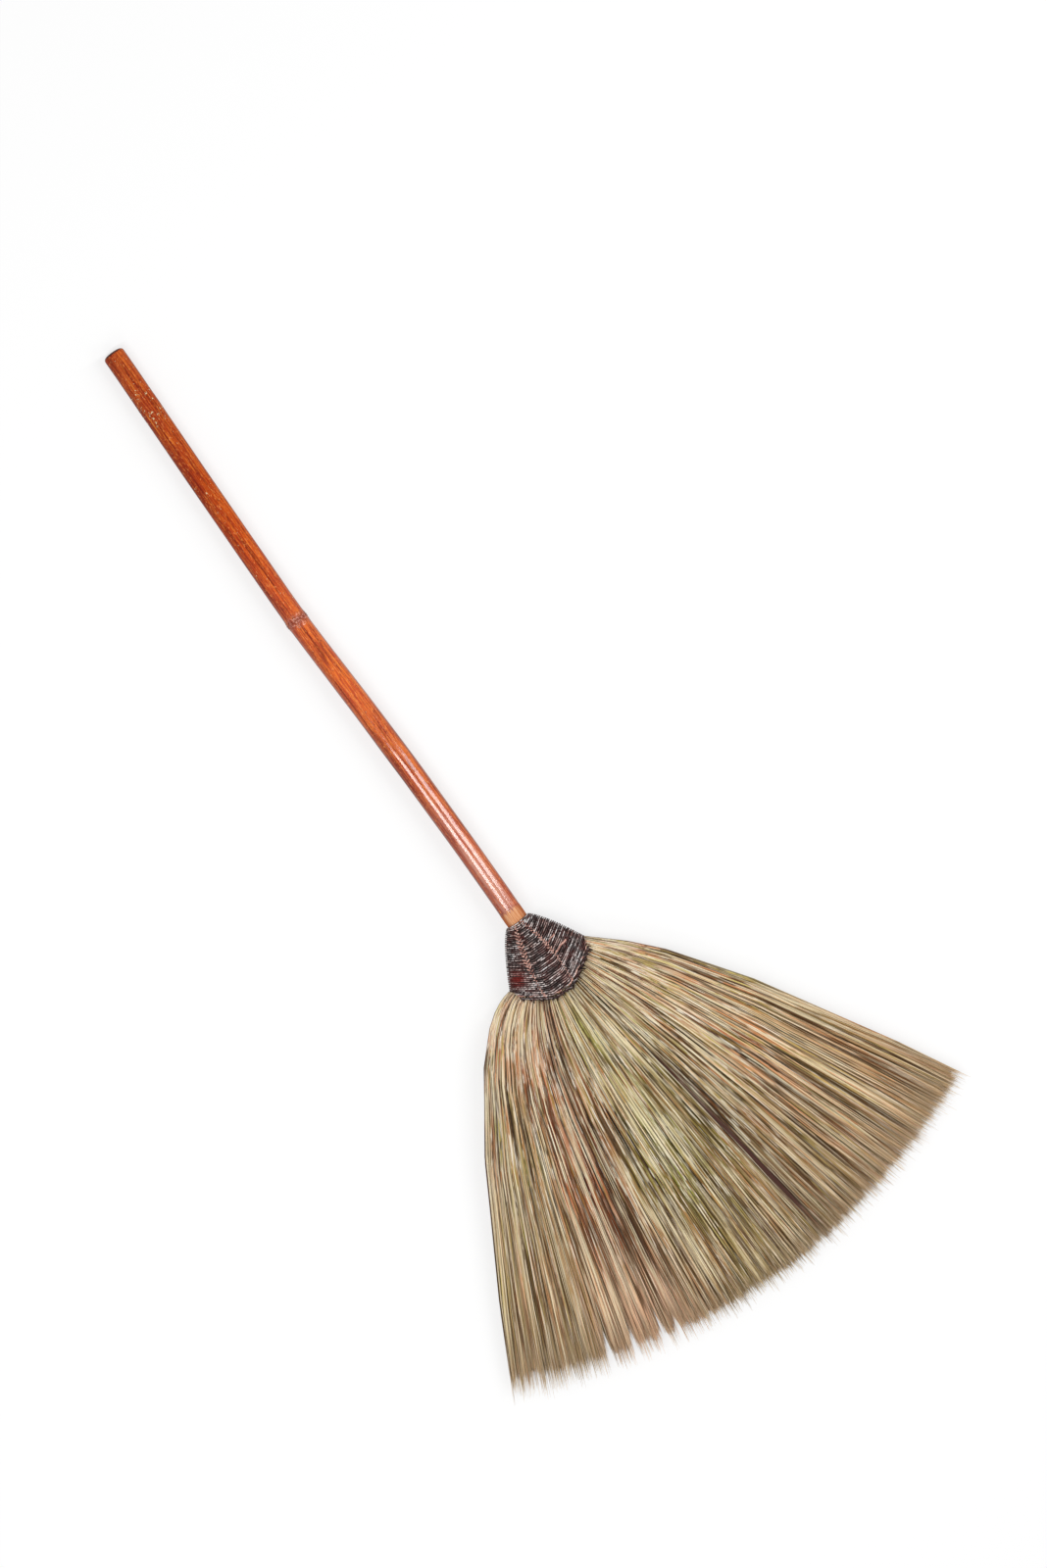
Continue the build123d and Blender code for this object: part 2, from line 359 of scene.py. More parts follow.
print("floor at", round(floor.location.z, 4))

# %% [markdown]
# ## Lamps
#
# Two broad lamps light the broom from the side of its grass. Two long ones hang above the cane, and give
# the twin bright streaks that run down its varnish. Each row has a place, a width, a length and watts.

# %% Lamps
lamps = (
    ("lamp_left", (-1.3, -1.7, 2.6), 1.0, 1.0, 8.0),
    ("lamp_right", (1.5, -1.6, 2.4), 1.0, 1.0, 8.0),
    ("streak_left", (-0.61, 0.03, 2.0), 1.0, 0.21, 13.0),
    ("streak_right", (1.80, 0.05, 2.0), 1.7, 0.24, 19.0),
)
for name, place, width, length, watts in lamps:
    lamp = bpy.data.objects.new(name, bpy.data.lights.new(name, "AREA"))
    bpy.context.scene.collection.objects.link(lamp)
    lamp.location = place
    lamp.rotation_euler = (Vector(place) - Vector((0, 0.02, 0))).to_track_quat("Z", "X").to_euler()
    lamp.data.shape = "RECTANGLE"
    lamp.data.size = width
    lamp.data.size_y = length
    lamp.data.energy = watts
    lamp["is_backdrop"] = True
print("lamps:", [name for name, *_ in lamps])

# %% [markdown]
# ## The cane handle
#
# The real handle is one length of thin cane. It is cut to length, straightened over heat, and varnished.
# Where a leaf once grew there is a node, a ring that stands out a little, and the cane bends there.
#
# All of it is told by stations: distances above the neck, each with the cane's middle line and radius.
# They lie close together at the node and far apart on the plain lengths.

# %% Stations along the cane
cane_sides = 56
foot_reach = 0.055
middle_line = (
    (0.6206, 0.0036), (0.601, 0.0033), (0.483, 0.0002), (0.354, -0.0025), (0.331, -0.0027),
    (0.300, -0.0020), (0.236, -0.0002), (0.193, 0.0005), (0.161, 0.0010), (0.080, 0.0012),
    (0.032, 0.0007), (0.0, 0.0), (-0.055, 0.0),
)
grip_radius = 0.0100
middle_radius = 0.0102
body_radii = (
    (0.6206, grip_radius), (0.56, 0.0100), (0.45, 0.0099), (0.345, 0.0100), (0.30, 0.0101), (0.215, 0.0104),
    (0.19, 0.0105), (0.15, 0.0104), (0.10, middle_radius), (0.0, middle_radius), (-0.055, 0.0078),
)
node_reach = 0.331
lower_node_reach = 0.190
chipped_node_reach = 0.561
node_rings = (
    (node_reach, 0.0006, 0.0035),
    (lower_node_reach, 0.0003, 0.0040),
    (chipped_node_reach, 0.00016, 0.0020),
)
wrinkle_height = 0.00022
wrinkle_spacing = 0.0011
wrinkled_half_length = 0.0045


def along_cane(pairs, reach):
    """A size at a distance above the neck, from pairs of such a distance and a size."""
    reaches, sizes = zip(*reversed(pairs))
    return float(np.interp(reach, reaches, sizes))


def cane_radius(reach):
    """The cane's radius at a distance above the neck, with its nodes."""
    radius = along_cane(body_radii, reach)
    for node, height, half_length in node_rings:
        radius += height * math.exp(-((reach - node) / half_length) ** 2)
    above_node = reach - node_reach
    wrinkled = math.exp(-(above_node / wrinkled_half_length) ** 2)
    return radius + wrinkle_height * wrinkled * math.sin(above_node / wrinkle_spacing * math.pi)


def cane_place(reach):
    """The middle of the cane at a distance above the neck. It slopes down to the floor at the grip."""
    slope = (grip_radius - head_height) / handle_reach
    return Vector(at(along_cane(middle_line, reach), -reach, slope * reach))


end_height = 0.0048
end_shares = np.sin(np.linspace(0.25, math.pi / 2, 10))
stations = [
    (handle_reach - end_height * (1 - (1 - share ** 3) ** (1 / 3)), (share - 1) * grip_radius)
    for share in end_shares
]
plain_step = 0.012
node_step = 0.00055
plain = list(np.arange(0.609, 0.345, -plain_step)) + list(np.arange(0.3160, -0.05, -plain_step))
fine = list(np.arange(0.3425, 0.3195, -node_step))
stations += [(reach, 0.0) for reach in sorted(plain + fine + [-foot_reach], reverse=True)]
print("stations along the cane:", len(stations))

# %% [markdown]
# ## Extruding the cane
#
# We draw one circle at the grip end and extrude it station by station down to the foot. At each station
# the ring is moved to the cane's middle line and resized to its radius.

# %% Extrude the cane
first_reach, first_inset = stations[0]
current_radius = cane_radius(first_reach) + first_inset
bpy.ops.object.select_all(action="DESELECT")
bpy.ops.mesh.primitive_circle_add(
    vertices=cane_sides,
    radius=current_radius,
    fill_type="NGON",
    location=cane_place(first_reach),
    rotation=(math.radians(90), 0, 0),
)
cane = bpy.context.object
cane.name = "cane_handle"
bpy.ops.object.mode_set(mode="EDIT")
bpy.ops.mesh.select_all(action="SELECT")
for (reach, inset), (before, _) in zip(stations[1:], stations):
    place = cane_place(reach)
    radius = cane_radius(reach) + inset
    bpy.ops.mesh.extrude_region_move(TRANSFORM_OT_translate={"value": place - cane_place(before)})
    share = radius / current_radius
    bpy.ops.transform.resize(value=(share, 1, share), center_override=place)
    current_radius = radius
bpy.ops.mesh.select_all(action="SELECT")
bpy.ops.mesh.normals_make_consistent(inside=False)
bpy.ops.object.mode_set(mode="OBJECT")
bpy.ops.object.transform_apply(location=True, rotation=True, scale=True)
bpy.ops.object.shade_smooth_by_angle(angle=math.radians(40))
print("cane:", len(cane.data.vertices), "vertices,", len(cane.data.polygons), "faces")

# %% [markdown]
# ## Varnished cane
#
# The stain is laid on by hand: deep brown at the grip, orange in the middle and paler near the cord. One
# side of the cane carries painted shade and the other painted light.

# %% Stain of the cane
cane_finish, tree, shader = finish_of("varnished_cane")
spot = places()
down = sums("SUBTRACT", part_of(spot, "Y"), neck_y)
side = value_of("side")
patchy = noise(scaled(spot, (60, 14, 60)), 3.0)
uneven = sums("SUBTRACT", patchy, 0.5)
stain = ramp(
    sums("DIVIDE", sums("MULTIPLY_ADD", uneven, 0.05, down), handle_reach),
    (0.0, 204, 116, 84),
    (0.12, 206, 110, 66),
    (0.28, 222, 112, 44),
    (0.45, 238, 116, 24),
    (0.54, 220, 96, 24),
    (0.66, 212, 88, 14),
    (0.77, 186, 72, 8),
    (0.90, 192, 84, 24),
    (1.0, 196, 88, 34),
)
# Painted light and shade: one side of the cane is painted darker, the other lighter.
lit_side = sums("MULTIPLY_ADD", uneven, 1.6, side)
stain = over(stain, rise(lit_side, 0.0, -0.9, 0.0, 0.55), 150, 52, 16)
stain = over(stain, rise(lit_side, 0.1, 0.8, 0.0, 0.35), 244, 126, 30)
print("stain ready")

# %% [markdown]
# ## Fibres
#
# Fine red-brown fibres run along the cane, because the noise is stretched along it. The far edges of the
# cane are darker with painted shade, and near the neck the varnish has gone pale.

# %% Fibres in the cane
fibres = noise(scaled(spot, (900, 26, 900)), 4.0, 0.7)
dark_fibres = noise(scaled(spot, (560, 12, 560), (3, 1, 5)), 4.0, 0.7)
pale_fibres = noise(scaled(spot, (640, 20, 640), (9, 4, 2)), 4.0, 0.7)
stain = stained(stain, rise(fibres, 0.42, 0.58, 0.0, 0.8), 196, 112, 90)
stain = over(stain, rise(dark_fibres, 0.49, 0.62, 0.0, 0.8), 118, 34, 14)
stain = over(stain, rise(pale_fibres, 0.55, 0.66, 0.0, 0.55), 246, 142, 50)
grit = noise(scaled(spot, (820, 240, 820), (6, 2, 7)), 3.0, 0.7)
stain = over(stain, rise(grit, 0.58, 0.66, 0.0, 0.6), 252, 158, 84)
stain = over(stain, rise(grit, 0.42, 0.34, 0.0, 0.6), 96, 28, 12)
edge = sums("ABSOLUTE", side)
# Painted shade: the cane is darker towards its far edges.
stain = over(stain, rise(edge, 0.84, 1.0, 0.0, 0.7), 92, 52, 46)
haze = times(rise(down, 0.15, 0.07, 0.0, 0.60), rise(pale_fibres, 0.38, 0.54))
haze = times(haze, rise(edge, 0.75, 0.45))
stain = over(stain, haze, 214, 158, 140)
print("fibres ready")

# %% [markdown]
# ## Worn places
#
# The brush stopped in a ragged line above the cord, so the cane is bare there. The ring of the node is
# dull and speckled, and near the grip the varnish has chipped in pale flecks with dark edges.

# %% Worn places on the cane
ragged = sums("MULTIPLY_ADD", sums("SUBTRACT", dark_fibres, 0.5), 0.016, down)
bare = rise(ragged, 0.0100, 0.0130, 1.0, 0.0)
bare_colour = ramp(
    fibres,
    (0.36, 188, 112, 66),
    (0.50, 222, 156, 108),
    (0.64, 238, 190, 148),
)
# Painted shade: the bare cane is darker towards its sides.
bare_colour = over(bare_colour, rise(edge, 0.45, 0.95, 0.0, 0.8), 168, 84, 42)
stain = blend("MIX", times(bare, 0.9), stain, bare_colour)
cross_line = hump(ragged, 0.0128, 0.0010)
stain = over(stain, times(cross_line, 0.6), 132, 66, 40)

speckle = noise(scaled(spot, (620, 460, 620), (1, 6, 3)), 3.0, 0.7)
ring = times(hump(down, node_reach, 0.0085), rise(patchy, 0.30, 0.62, 0.4, 1.0))
ring_colour = ramp(
    speckle,
    (0.40, 100, 42, 34),
    (0.50, 152, 82, 62),
    (0.60, 218, 164, 150),
)
stain = blend("MIX", times(ring, 0.8), stain, ring_colour)

flecks = noise(scaled(spot, (420, 300, 420), (2, 7, 1)), 3.0, 0.7)
chip_zone = rise(hump(down, chipped_node_reach, 0.030), 0.10, 0.60, 0.0, 0.075)
chipped = sums("ADD", flecks, chip_zone)
few_flecks = noise(scaled(spot, (300, 110, 300), (5, 2, 8)), 4.0, 0.75)
chips = sums("MAXIMUM", rise(chipped, 0.69, 0.71), rise(few_flecks, 0.71, 0.73))
around = sums("MAXIMUM", rise(chipped, 0.65, 0.70), rise(few_flecks, 0.64, 0.71))
stain = over(stain, times(around, 0.5), 110, 44, 16)
stain = over(stain, times(chips, 0.85), 244, 226, 178)
facing = part_of(tree.nodes.new("ShaderNodeNewGeometry").outputs["Normal"], "Y")
stain = over(stain, rise(facing, 0.40, 0.75, 0.0, 0.85), 58, 28, 20)
surface(shader, stain, 0.5, 0.0)
print("worn places ready")

# %% [markdown]
# ## Varnish
#
# The varnish is a clear coat. It is weak where the cane is bare and at the dull ring, and slow waves in
# it make its bright streaks uneven. The cane also carries a number from side to side for its painted
# light and shade.

# %% Varnish
dull = sums("MAXIMUM", bare, times(ring, 0.6))
whole_varnish = rise(dark_fibres, 0.66, 0.50, 0.45, 1.0)
worn_gloss = times(whole_varnish, rise(dull, 0.0, 1.0, 1.0, 0.1))
worn_gloss = times(worn_gloss, rise(down, 0.30, 0.45, 1.0, 0.35))
tree.links.new(worn_gloss, shader.inputs["Coat Weight"])
shader.inputs["Coat Roughness"].default_value = 0.08
shader.inputs["Coat IOR"].default_value = 1.42
relief(shader, sums("SUBTRACT", fibres, times(chips, 0.8)), 0.00012, 0.5)
varnish_waves = tree.nodes.new("ShaderNodeBump")
varnish_waves.inputs["Strength"].default_value = 0.16
varnish_waves.inputs["Distance"].default_value = 0.00006
tree.links.new(noise(scaled(spot, (300, 9, 300)), 2.0), varnish_waves.inputs["Height"])
tree.links.new(varnish_waves.outputs["Normal"], shader.inputs["Coat Normal"])
cane.data.materials.append(cane_finish)
corners = np.empty(3 * len(cane.data.vertices))
cane.data.vertices.foreach_get("co", corners)
corners = corners.reshape(-1, 3)
middles = np.array([cane_place(reach).x for reach in corners[:, 1] - neck_y])
sides = cane.data.attributes.new("side", "FLOAT", "POINT")
sides.data.foreach_set("value", (corners[:, 0] - middles) / middle_radius)
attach(cane, "root")
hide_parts("handle")
print("cane finish has", len(tree.nodes), "nodes")

# %% [markdown]
# ## Meshes from arrays
#
# Cord and grass follow thousands of points that no hand would place. We model the shape that repeats
# once, and then lay its copies out with arrays. This helper turns arrays into a piece of the broom.


# %% Pieces from arrays
def new_piece(name, points, faces, values, finish, slot, replaced):
    """A closed mesh from arrays. Faces is a list of index arrays, one for each number of corners."""
    mesh = bpy.data.meshes.new(name)
    corners = np.concatenate([group.ravel() for group in faces])
    counts = np.concatenate([np.full(len(group), group.shape[1]) for group in faces])
    mesh.vertices.add(len(points))
    mesh.vertices.foreach_set("co", points.ravel())
    mesh.loops.add(len(corners))
    mesh.loops.foreach_set("vertex_index", corners)
    mesh.polygons.add(len(counts))
    mesh.polygons.foreach_set("loop_start", np.concatenate(([0], np.cumsum(counts)[:-1])))
    mesh.polygons.foreach_set("loop_total", counts)
    mesh.polygons.foreach_set("use_smooth", np.ones(len(counts), dtype=bool))
    for label, numbers in values.items():
        mesh.attributes.new(label, "FLOAT", "POINT").data.foreach_set("value", numbers.ravel())
    mesh.update(calc_edges=True)
    mesh.validate()
    piece = bpy.data.objects.new(name, mesh)
    bpy.context.scene.collection.objects.link(piece)
    mesh.materials.append(finish)
    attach(piece, "root")
    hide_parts(*replaced)
    triangles = int((counts - 2).sum())
    print(name, "has", triangles, "triangles")
    return piece


print("pieces can be made from arrays")

# %% [markdown]
# ## Tubes
#
# A cord is a round tube along a path. Its mesh carries how far along the cord each point lies, and where
# on the round of the tube, so that the finish can tell the crest of a row from the hollow between rows.


# %% Tubes along paths
def tube(path, radii, sides, reference, closed=False):
    """Points, faces and values of a round tube along a path."""
    count = len(path)
    if closed:
        along_path = np.roll(path, -1, axis=0) - np.roll(path, 1, axis=0)
    else:
        along_path = np.gradient(path, axis=0)
    tangent = along_path / np.linalg.norm(along_path, axis=1, keepdims=True)
    first = reference - (tangent * reference).sum(axis=1, keepdims=True) * tangent
    first /= np.linalg.norm(first, axis=1, keepdims=True)
    second = np.cross(tangent, first)
    turns = np.arange(sides) / sides * 2 * math.pi
    outward = first[:, None] * np.cos(turns)[:, None] + second[:, None] * np.sin(turns)[:, None]
    points = (path[:, None] + radii[:, None, None] * outward).reshape(-1, 3)
    ring = np.arange(sides)
    following = (ring + 1) % sides
    starts = np.arange(count if closed else count - 1)[:, None] * sides
    ends = (starts + sides) % (count * sides)
    quads = np.stack((starts + ring, starts + following, ends + following, ends + ring), axis=-1)
    faces = [quads.reshape(-1, 4)]
    if not closed:
        faces.append(np.stack((ring[::-1], ring + (count - 1) * sides)))
    lengths = np.concatenate(([0], np.cumsum(np.linalg.norm(np.diff(path, axis=0), axis=1))))
    values = {
        "along": np.repeat(lengths, sides),
        "ring_x": np.tile(np.cos(turns), count),
        "ring_y": np.tile(np.sin(turns), count),
    }
    return points, faces, values


def merged(parts):
    """Several (points, faces, values) as one."""
    points, faces, values, used = [], {}, {}, 0
    for part_points, part_faces, part_values in parts:
        points.append(part_points)
        for group in part_faces:
            faces.setdefault(group.shape[1], []).append(group + used)
        for label, numbers in part_values.items():
            values.setdefault(label, []).append(numbers)
        used += len(part_points)
    joined = {label: np.concatenate(numbers) for label, numbers in values.items()}
    return np.concatenate(points), [np.concatenate(groups) for groups in faces.values()], joined


print("tubes ready")

# %% [markdown]
# ## Copies
#
# A shape that was modelled gives its points and faces here. The seeded dice make every run of
# this lesson the same.


# %% Copies of a shape
def shape_of(thing):
    """The points and faces of a modelled shape, which is then removed."""
    mesh = thing.data
    points = np.empty(3 * len(mesh.vertices))
    mesh.vertices.foreach_get("co", points)
    faces = {}
    for polygon in mesh.polygons:
        faces.setdefault(len(polygon.vertices), []).append(list(polygon.vertices))
    shape = points.reshape(-1, 3), [np.array(group) for group in faces.values()]
    bpy.data.objects.remove(thing)
    return shape


def repeated_faces(faces, point_count, copies):
    """The faces of a shape, for so many copies one after the other."""
    steps = np.arange(copies)[:, None, None] * point_count
    return [(group[None] + steps).reshape(-1, group.shape[1]) for group in faces]


seeded = np.random.default_rng(11)
print("first throw of the dice would be", round(float(np.random.default_rng(11).uniform()), 3))

# %% [markdown]
# ## The bound head
#
# On the real broom the cord is wound round the stalks from the neck down, row against row. Each hank
# leans out to its own side, and the rows lie square to the hank. So every row is straight across the
# middle hank and bends back at both seams. That gives the head its bowed rows and its rounded rim.
#
# The outline of the head and the course of its seams were measured on the photo, on both sides.

# %% Outline of the head
row_count = 37
first_row = 0.0008
last_row = 0.0730
cord_radius = 0.00084
edge_cord_radius = 0.00062
section_fullness = 2.2
neck_half_width = 0.0113
rim_half_width_left = 0.0440
rim_half_width_right = 0.0428
rim_edge_depth = 0.0506
shoulder_share = 0.77
rim_half_thickness = 0.01505
neck_thinning = 0.0036
neck_thinning_length = 0.009
seam_groove_depth = 0.0007
seam_groove_half_width = 0.0022
row_closeness_at_edge = 0.69
first_rows_length = 0.014
left_seam_start, left_seam_spread, left_seam_length = 0.0028, 0.0164, 0.075
right_seam_start, right_seam_spread, right_seam_length = 0.0018, 0.0082, 0.052


def edge_row(middle):
    """How far down a row lies at the head's edge, from how far down it lies in the middle."""
    return row_closeness_at_edge * middle * (1 - 0.95 * np.exp(-middle / first_rows_length))


def half_width(depth, rim_half_width):
    """Half the head's width on one side, at a distance down from the neck."""
    share = np.clip(depth / rim_edge_depth, 0, 1.1)
    return neck_half_width + (rim_half_width - neck_half_width) * share ** shoulder_share


def left_seam(depth):
    """How far left of the middle the left seam runs."""
    still_to_go = np.clip(1 - depth / left_seam_length, 0, 1)
    return left_seam_start + left_seam_spread * (1 - still_to_go ** 1.8)


def right_seam(depth):
    """How far right of the middle the right seam runs."""
    return right_seam_start + right_seam_spread * (1 - (1 - depth / right_seam_length) ** 2)


print("the head is", round(float(half_width(rim_edge_depth, rim_half_width_left)), 4), "wide to the left")

# %% [markdown]
# ## Places on the head
#
# One function gives a place on the winding from the turn round the head and from how far the cord is
# wound. Another finds the turn at which a row meets a seam.


# %% Places on the head
def head_place(turn, middle, inset=0.0):
    """Places on the middle of the cord, for a turn in radians and a row by its depth in the middle."""
    turn, middle = np.broadcast_arrays(np.asarray(turn, float), middle)
    cosine, sine = np.cos(turn), np.sin(turn)
    edge = edge_row(middle)
    on_left = cosine < 0
    width = half_width(edge, np.where(on_left, rim_half_width_left, rim_half_width_right)) - inset
    seam = np.where(on_left, left_seam(middle), right_seam(middle))
    side = np.sign(cosine) * np.abs(cosine) ** (2 / section_fullness) * width
    off = np.clip((np.abs(side) - 0.55 * seam) / (width - 0.55 * seam), 0, 1)
    depth = middle - (middle - edge) * off ** 1.25
    thinning = neck_thinning * np.exp(-np.maximum(depth, 0) / neck_thinning_length)
    height = rim_half_thickness - thinning - inset
    height = np.sign(sine) * np.abs(sine) ** (2 / section_fullness) * height
    for seam_side in (-left_seam(middle), right_seam(middle)):
        groove = seam_groove_depth * np.exp(-((side - seam_side) / seam_groove_half_width) ** 2)
        height -= np.sign(sine) * groove
    return at(side, depth, height)


def seam_turn(middle, side):
    """The turn at which a row meets the left seam (side -1) or the right one (side 1)."""
    if side < 0:
        share = left_seam(middle) / half_width(edge_row(middle), rim_half_width_left)
    else:
        share = right_seam(middle) / half_width(edge_row(middle), rim_half_width_right)
    return np.arccos(side * np.clip(share, 0, 1) ** (section_fullness / 2))


rim_width = head_place(0, last_row)[0] - head_place(math.pi, last_row)[0]
print("head width at the rim:", round(float(rim_width), 4))

# %% [markdown]
# ## Winding the cord
#
# The cord runs round the head in an unbroken line. We walk along it in even steps, because its knobs are
# evenly spaced along the cord and not round the head.

# %% Wind the cord
step_length = 0.00048
knob_length = 0.0034
rough_turns = np.linspace(0, row_count * 2 * math.pi, row_count * 300)
rough_rows = first_row + (last_row - first_row) * rough_turns / rough_turns[-1]
rough_path = head_place(rough_turns, rough_rows)
rough_lengths = np.concatenate(([0], np.cumsum(np.linalg.norm(np.diff(rough_path, axis=0), axis=1))))
steps = np.arange(0, rough_lengths[-1], step_length)
turns = np.interp(steps, rough_lengths, rough_turns)
tube_sides = 6
upright = np.array((0.0, 1.0, 0.0))
rows = first_row + (last_row - first_row) * turns / rough_turns[-1]
print("length of cord on the head in metres:", round(float(rough_lengths[-1]), 2))

# %% [markdown]
# ## Knobs of the cord
#
# Where the cord passes over a bundle of stalks it stands up as a knob, and between two bundles it dips
# in. The knobs are plainest on the left. At the head's edges the rows are thinner and lie closer.

# %% Knobs of the cord
phase = 2 * math.pi * steps / knob_length + 0.9 * np.sin(turns * 3.3) + 0.7 * np.sin(turns * 7.9)
knob_depth = 0.35 + 0.65 / (1 + np.exp((head_place(turns, rows)[:, 0] + 0.012) / 0.003))
knobs = 1 - knob_depth * np.exp(-((np.abs(np.sin(phase / 2)) / 0.34) ** 2))
wander = 0.00022 * np.sin(steps / 0.011) + 0.00016 * np.sin(steps / 0.0047 + 1)
knob_height = 0.00035
cord_path = head_place(turns, rows + wander, inset=knob_height * (1 - knobs))
evenness = np.abs(np.cos(turns)) ** 2
radii = (cord_radius * (1 - evenness) + edge_cord_radius * evenness) * (0.78 + 0.22 * knobs)
points, faces, values = tube(cord_path, radii, tube_sides, upright)
values["knob"] = np.repeat(knobs, tube_sides)
values["row"] = np.repeat(turns / (2 * math.pi), tube_sides)
winding = (points, faces, values)
print("the winding has", len(points), "points")

# %% [markdown]
# ## Dark cord
#
# The cord is dyed a dark maroon, unevenly, and painted shade makes it nearly black in the hollows
# between its rows.

# %% Dye and painted shade of the cord
dark_cord, tree, shader = finish_of("dark_cord")
spot = places()
along = value_of("along")
row = value_of("row")
knob = value_of("knob")
ring_height = sums("ABSOLUTE", value_of("ring_y"))
thread_place = together(times(along, 420), times(row, 5.3), 0.0)
threads = noise(thread_place, 3.0, 0.65)
clouds = noise(scaled(spot, (90, 90, 90), (3, 1, 4)), 3.0, 0.6)
cord_colour = ramp(
    noise(scaled(spot, (160, 160, 160)), 3.0, 0.6),
    (0.30, 12, 7, 7),
    (0.48, 42, 16, 16),
    (0.64, 80, 32, 28),
    (0.80, 34, 23, 25),
)
# Painted shade: the sides of each cord, in the hollows between rows, are darkened nearly to black.
painted_hollow_shade = rise(ring_height, 0.75, 0.25, 0.0, 0.75)
cord_colour = over(cord_colour, painted_hollow_shade, 12, 8, 8)
print("dye ready")

# %% [markdown]
# ## Painted highlights on the crests
#
# The crests of the rows carry painted highlights, pinkish where they are faint and nearly white where they
# are strong. The highlights come in strokes with breaks between them, and one row of two gets more of them.
# Low on the left one patch stays red.

# %% Painted highlights on the crests of the cord
highlight_colour = ramp(
    clouds,
    (0.32, 224, 172, 160),
    (0.48, 246, 226, 220),
    (0.66, 255, 250, 248),
)
crest = rise(ring_height, 0.62, 0.97)
# Painted highlight: pale strokes where the crests of the knobs would catch the light.
painted_highlight = times(times(knob, crest), rise(threads, 0.36, 0.48))
slow_place = together(times(along, 34), times(row, 0.9), 4.0)
row_swing = times(noise(slow_place, 2.0), 16)
every_other = sums("SINE", sums("MULTIPLY_ADD", row, math.pi, row_swing))
painted_highlight = times(painted_highlight, rise(every_other, -0.5, 0.4, 0.15, 1.0))
break_place = together(times(along, 130), times(row, 2.3), 9.0)
painted_highlight = times(painted_highlight, rise(noise(break_place, 2.0), 0.36, 0.48, 0.2, 1.0))
patches = rise(clouds, 0.34, 0.56, 0.65, 1.0)
cord_colour = blend("MIX", times(painted_highlight, patches), cord_colour, highlight_colour)
red_side = -0.0300
red_depth = 0.0420
red_size = 0.0125
red = hump(part_of(spot, "X"), red_side, red_size)
red = times(red, hump(part_of(spot, "Y"), neck_y - red_depth, red_size))
cord_colour = over(cord_colour, times(red, 0.8), 124, 34, 28)
surface(shader, cord_colour, 0.45, 0.15)
ring_angle = sums("ARCTAN2", value_of("ring_y"), value_of("ring_x"))
ply = sums("SINE", sums("ADD", times(ring_angle, 3.0), times(along, 4200)))
relief(shader, sums("ADD", times(ply, 0.3), threads), 0.0002, 0.7)
new_piece("woven_cord", *winding, dark_cord, "dark_cord", ["cord_winding"])

# %% [markdown]
# ## Rim of the head
#
# Two plies of the same cord, twisted round each other, close the winding along the rim.

# %% Rim cords
rim_steps = 900
rim_twists = 34
rim_depth = 0.0746
loop_turns = np.linspace(0, 2 * math.pi, rim_steps, endpoint=False)
rim_parts = []
for ply_phase in (0, math.pi):
    twist = loop_turns * rim_twists + ply_phase
    inset = 0.0001 - 0.00055 * np.sin(twist)
    path = head_place(loop_turns, rim_depth + 0.0007 * np.cos(twist), inset=inset)
    radii = 0.00090 + 0.00016 * np.sin(loop_turns * 61)
    points, faces, values = tube(path, radii, tube_sides, upright, closed=True)
    values["along"] = np.repeat(np.arange(rim_steps) * 0.0002, tube_sides)
    values["knob"] = np.repeat(0.5 + 0.5 * np.sin(twist), tube_sides) * 0.4
    values["row"] = np.full(len(points), 40.0 + ply_phase)
    rim_parts.append((points, faces, values))
print("rim plies:", len(rim_parts))

# %% [markdown]
# ## Ties
#
# Small ties stick out from the rim between the stems, every few millimetres and each a little different.

# %% Ties along the rim
tie_count = 72
for number in range(tie_count):
    turn = 2 * math.pi * (number + seeded.uniform(0.2, 0.8)) / tie_count
    root = head_place(turn, 0.0744, inset=-0.0004)
    outward = head_place(turn + seeded.uniform(-0.03, 0.03), 0.0764, inset=-0.0008) - root
    tip = root + outward * seeded.uniform(1.3, 2.6)
    lift = math.sin(turn) * 0.0007
    bend = np.array((0, 0, lift))
    path = np.array((root, root * 0.6 + tip * 0.4 + bend, root * 0.25 + tip * 0.75 + bend, tip))
    radii = np.array((0.00062, 0.00060, 0.00052, 0.00025))
    points, faces, values = tube(path, radii, 5, np.array((0.3, 0.2, 1.0)))
    values["knob"] = np.zeros(len(points))
    values["row"] = np.full(len(points), 60.0 + number)
    rim_parts.append((points, faces, values))
new_piece("rim_cord", *merged(rim_parts), dark_cord, "dark_cord", ["cord_winding"])

# %% [markdown]
# ## Seams
#
# In each parting between two hanks the maker sews the rows together with a pale pink thread. The stitches
# lie in pairs like a herringbone, widest halfway down and small at the rim. We model one stitch and
# copy it.

# %% One stitch
bpy.ops.object.select_all(action="DESELECT")
bpy.ops.mesh.primitive_uv_sphere_add(segments=6, ring_count=5, radius=1)
stitch = bpy.context.object
bpy.ops.transform.rotate(value=math.radians(90), orient_axis="Y", center_override=(0, 0, 0))
bpy.ops.transform.resize(value=(1, 1, 0.8), center_override=(0, 0, 0))
bpy.ops.object.transform_apply(location=True, rotation=True, scale=True)
stitch_points, stitch_faces = shape_of(stitch)
print("one stitch has", len(stitch_points), "points")

# %% [markdown]
# ## Pale thread
#
# The thread of the seams is a faded pink, dark where it is dirty.

# %% Pale thread finish
pink_cord, tree, shader = finish_of("pink_cord")
spot = places()
strand_noise = noise(scaled(spot, (700, 700, 700)), 3.0, 0.6)
pink = ramp(
    strand_noise,
    (0.32, 126, 74, 66),
    (0.48, 206, 150, 134),
    (0.64, 242, 206, 190),
)
faded = noise(scaled(spot, (130, 130, 130), (4, 1, 2)), 2.0)
pink = over(pink, rise(faded, 0.5, 0.64, 0.0, 0.7), 96, 44, 42)
surface(shader, pink, 0.7)
relief(shader, strand_noise, 0.0002, 0.6)
print("thread finish has", len(tree.nodes), "nodes")

# %% [markdown]
# ## Sewing the seams
#
# The stitches are laid out row by row. At each step we take three neighbouring places on the head, which
# tell the way forward along the seam, the way sideways and the way out of the surface.


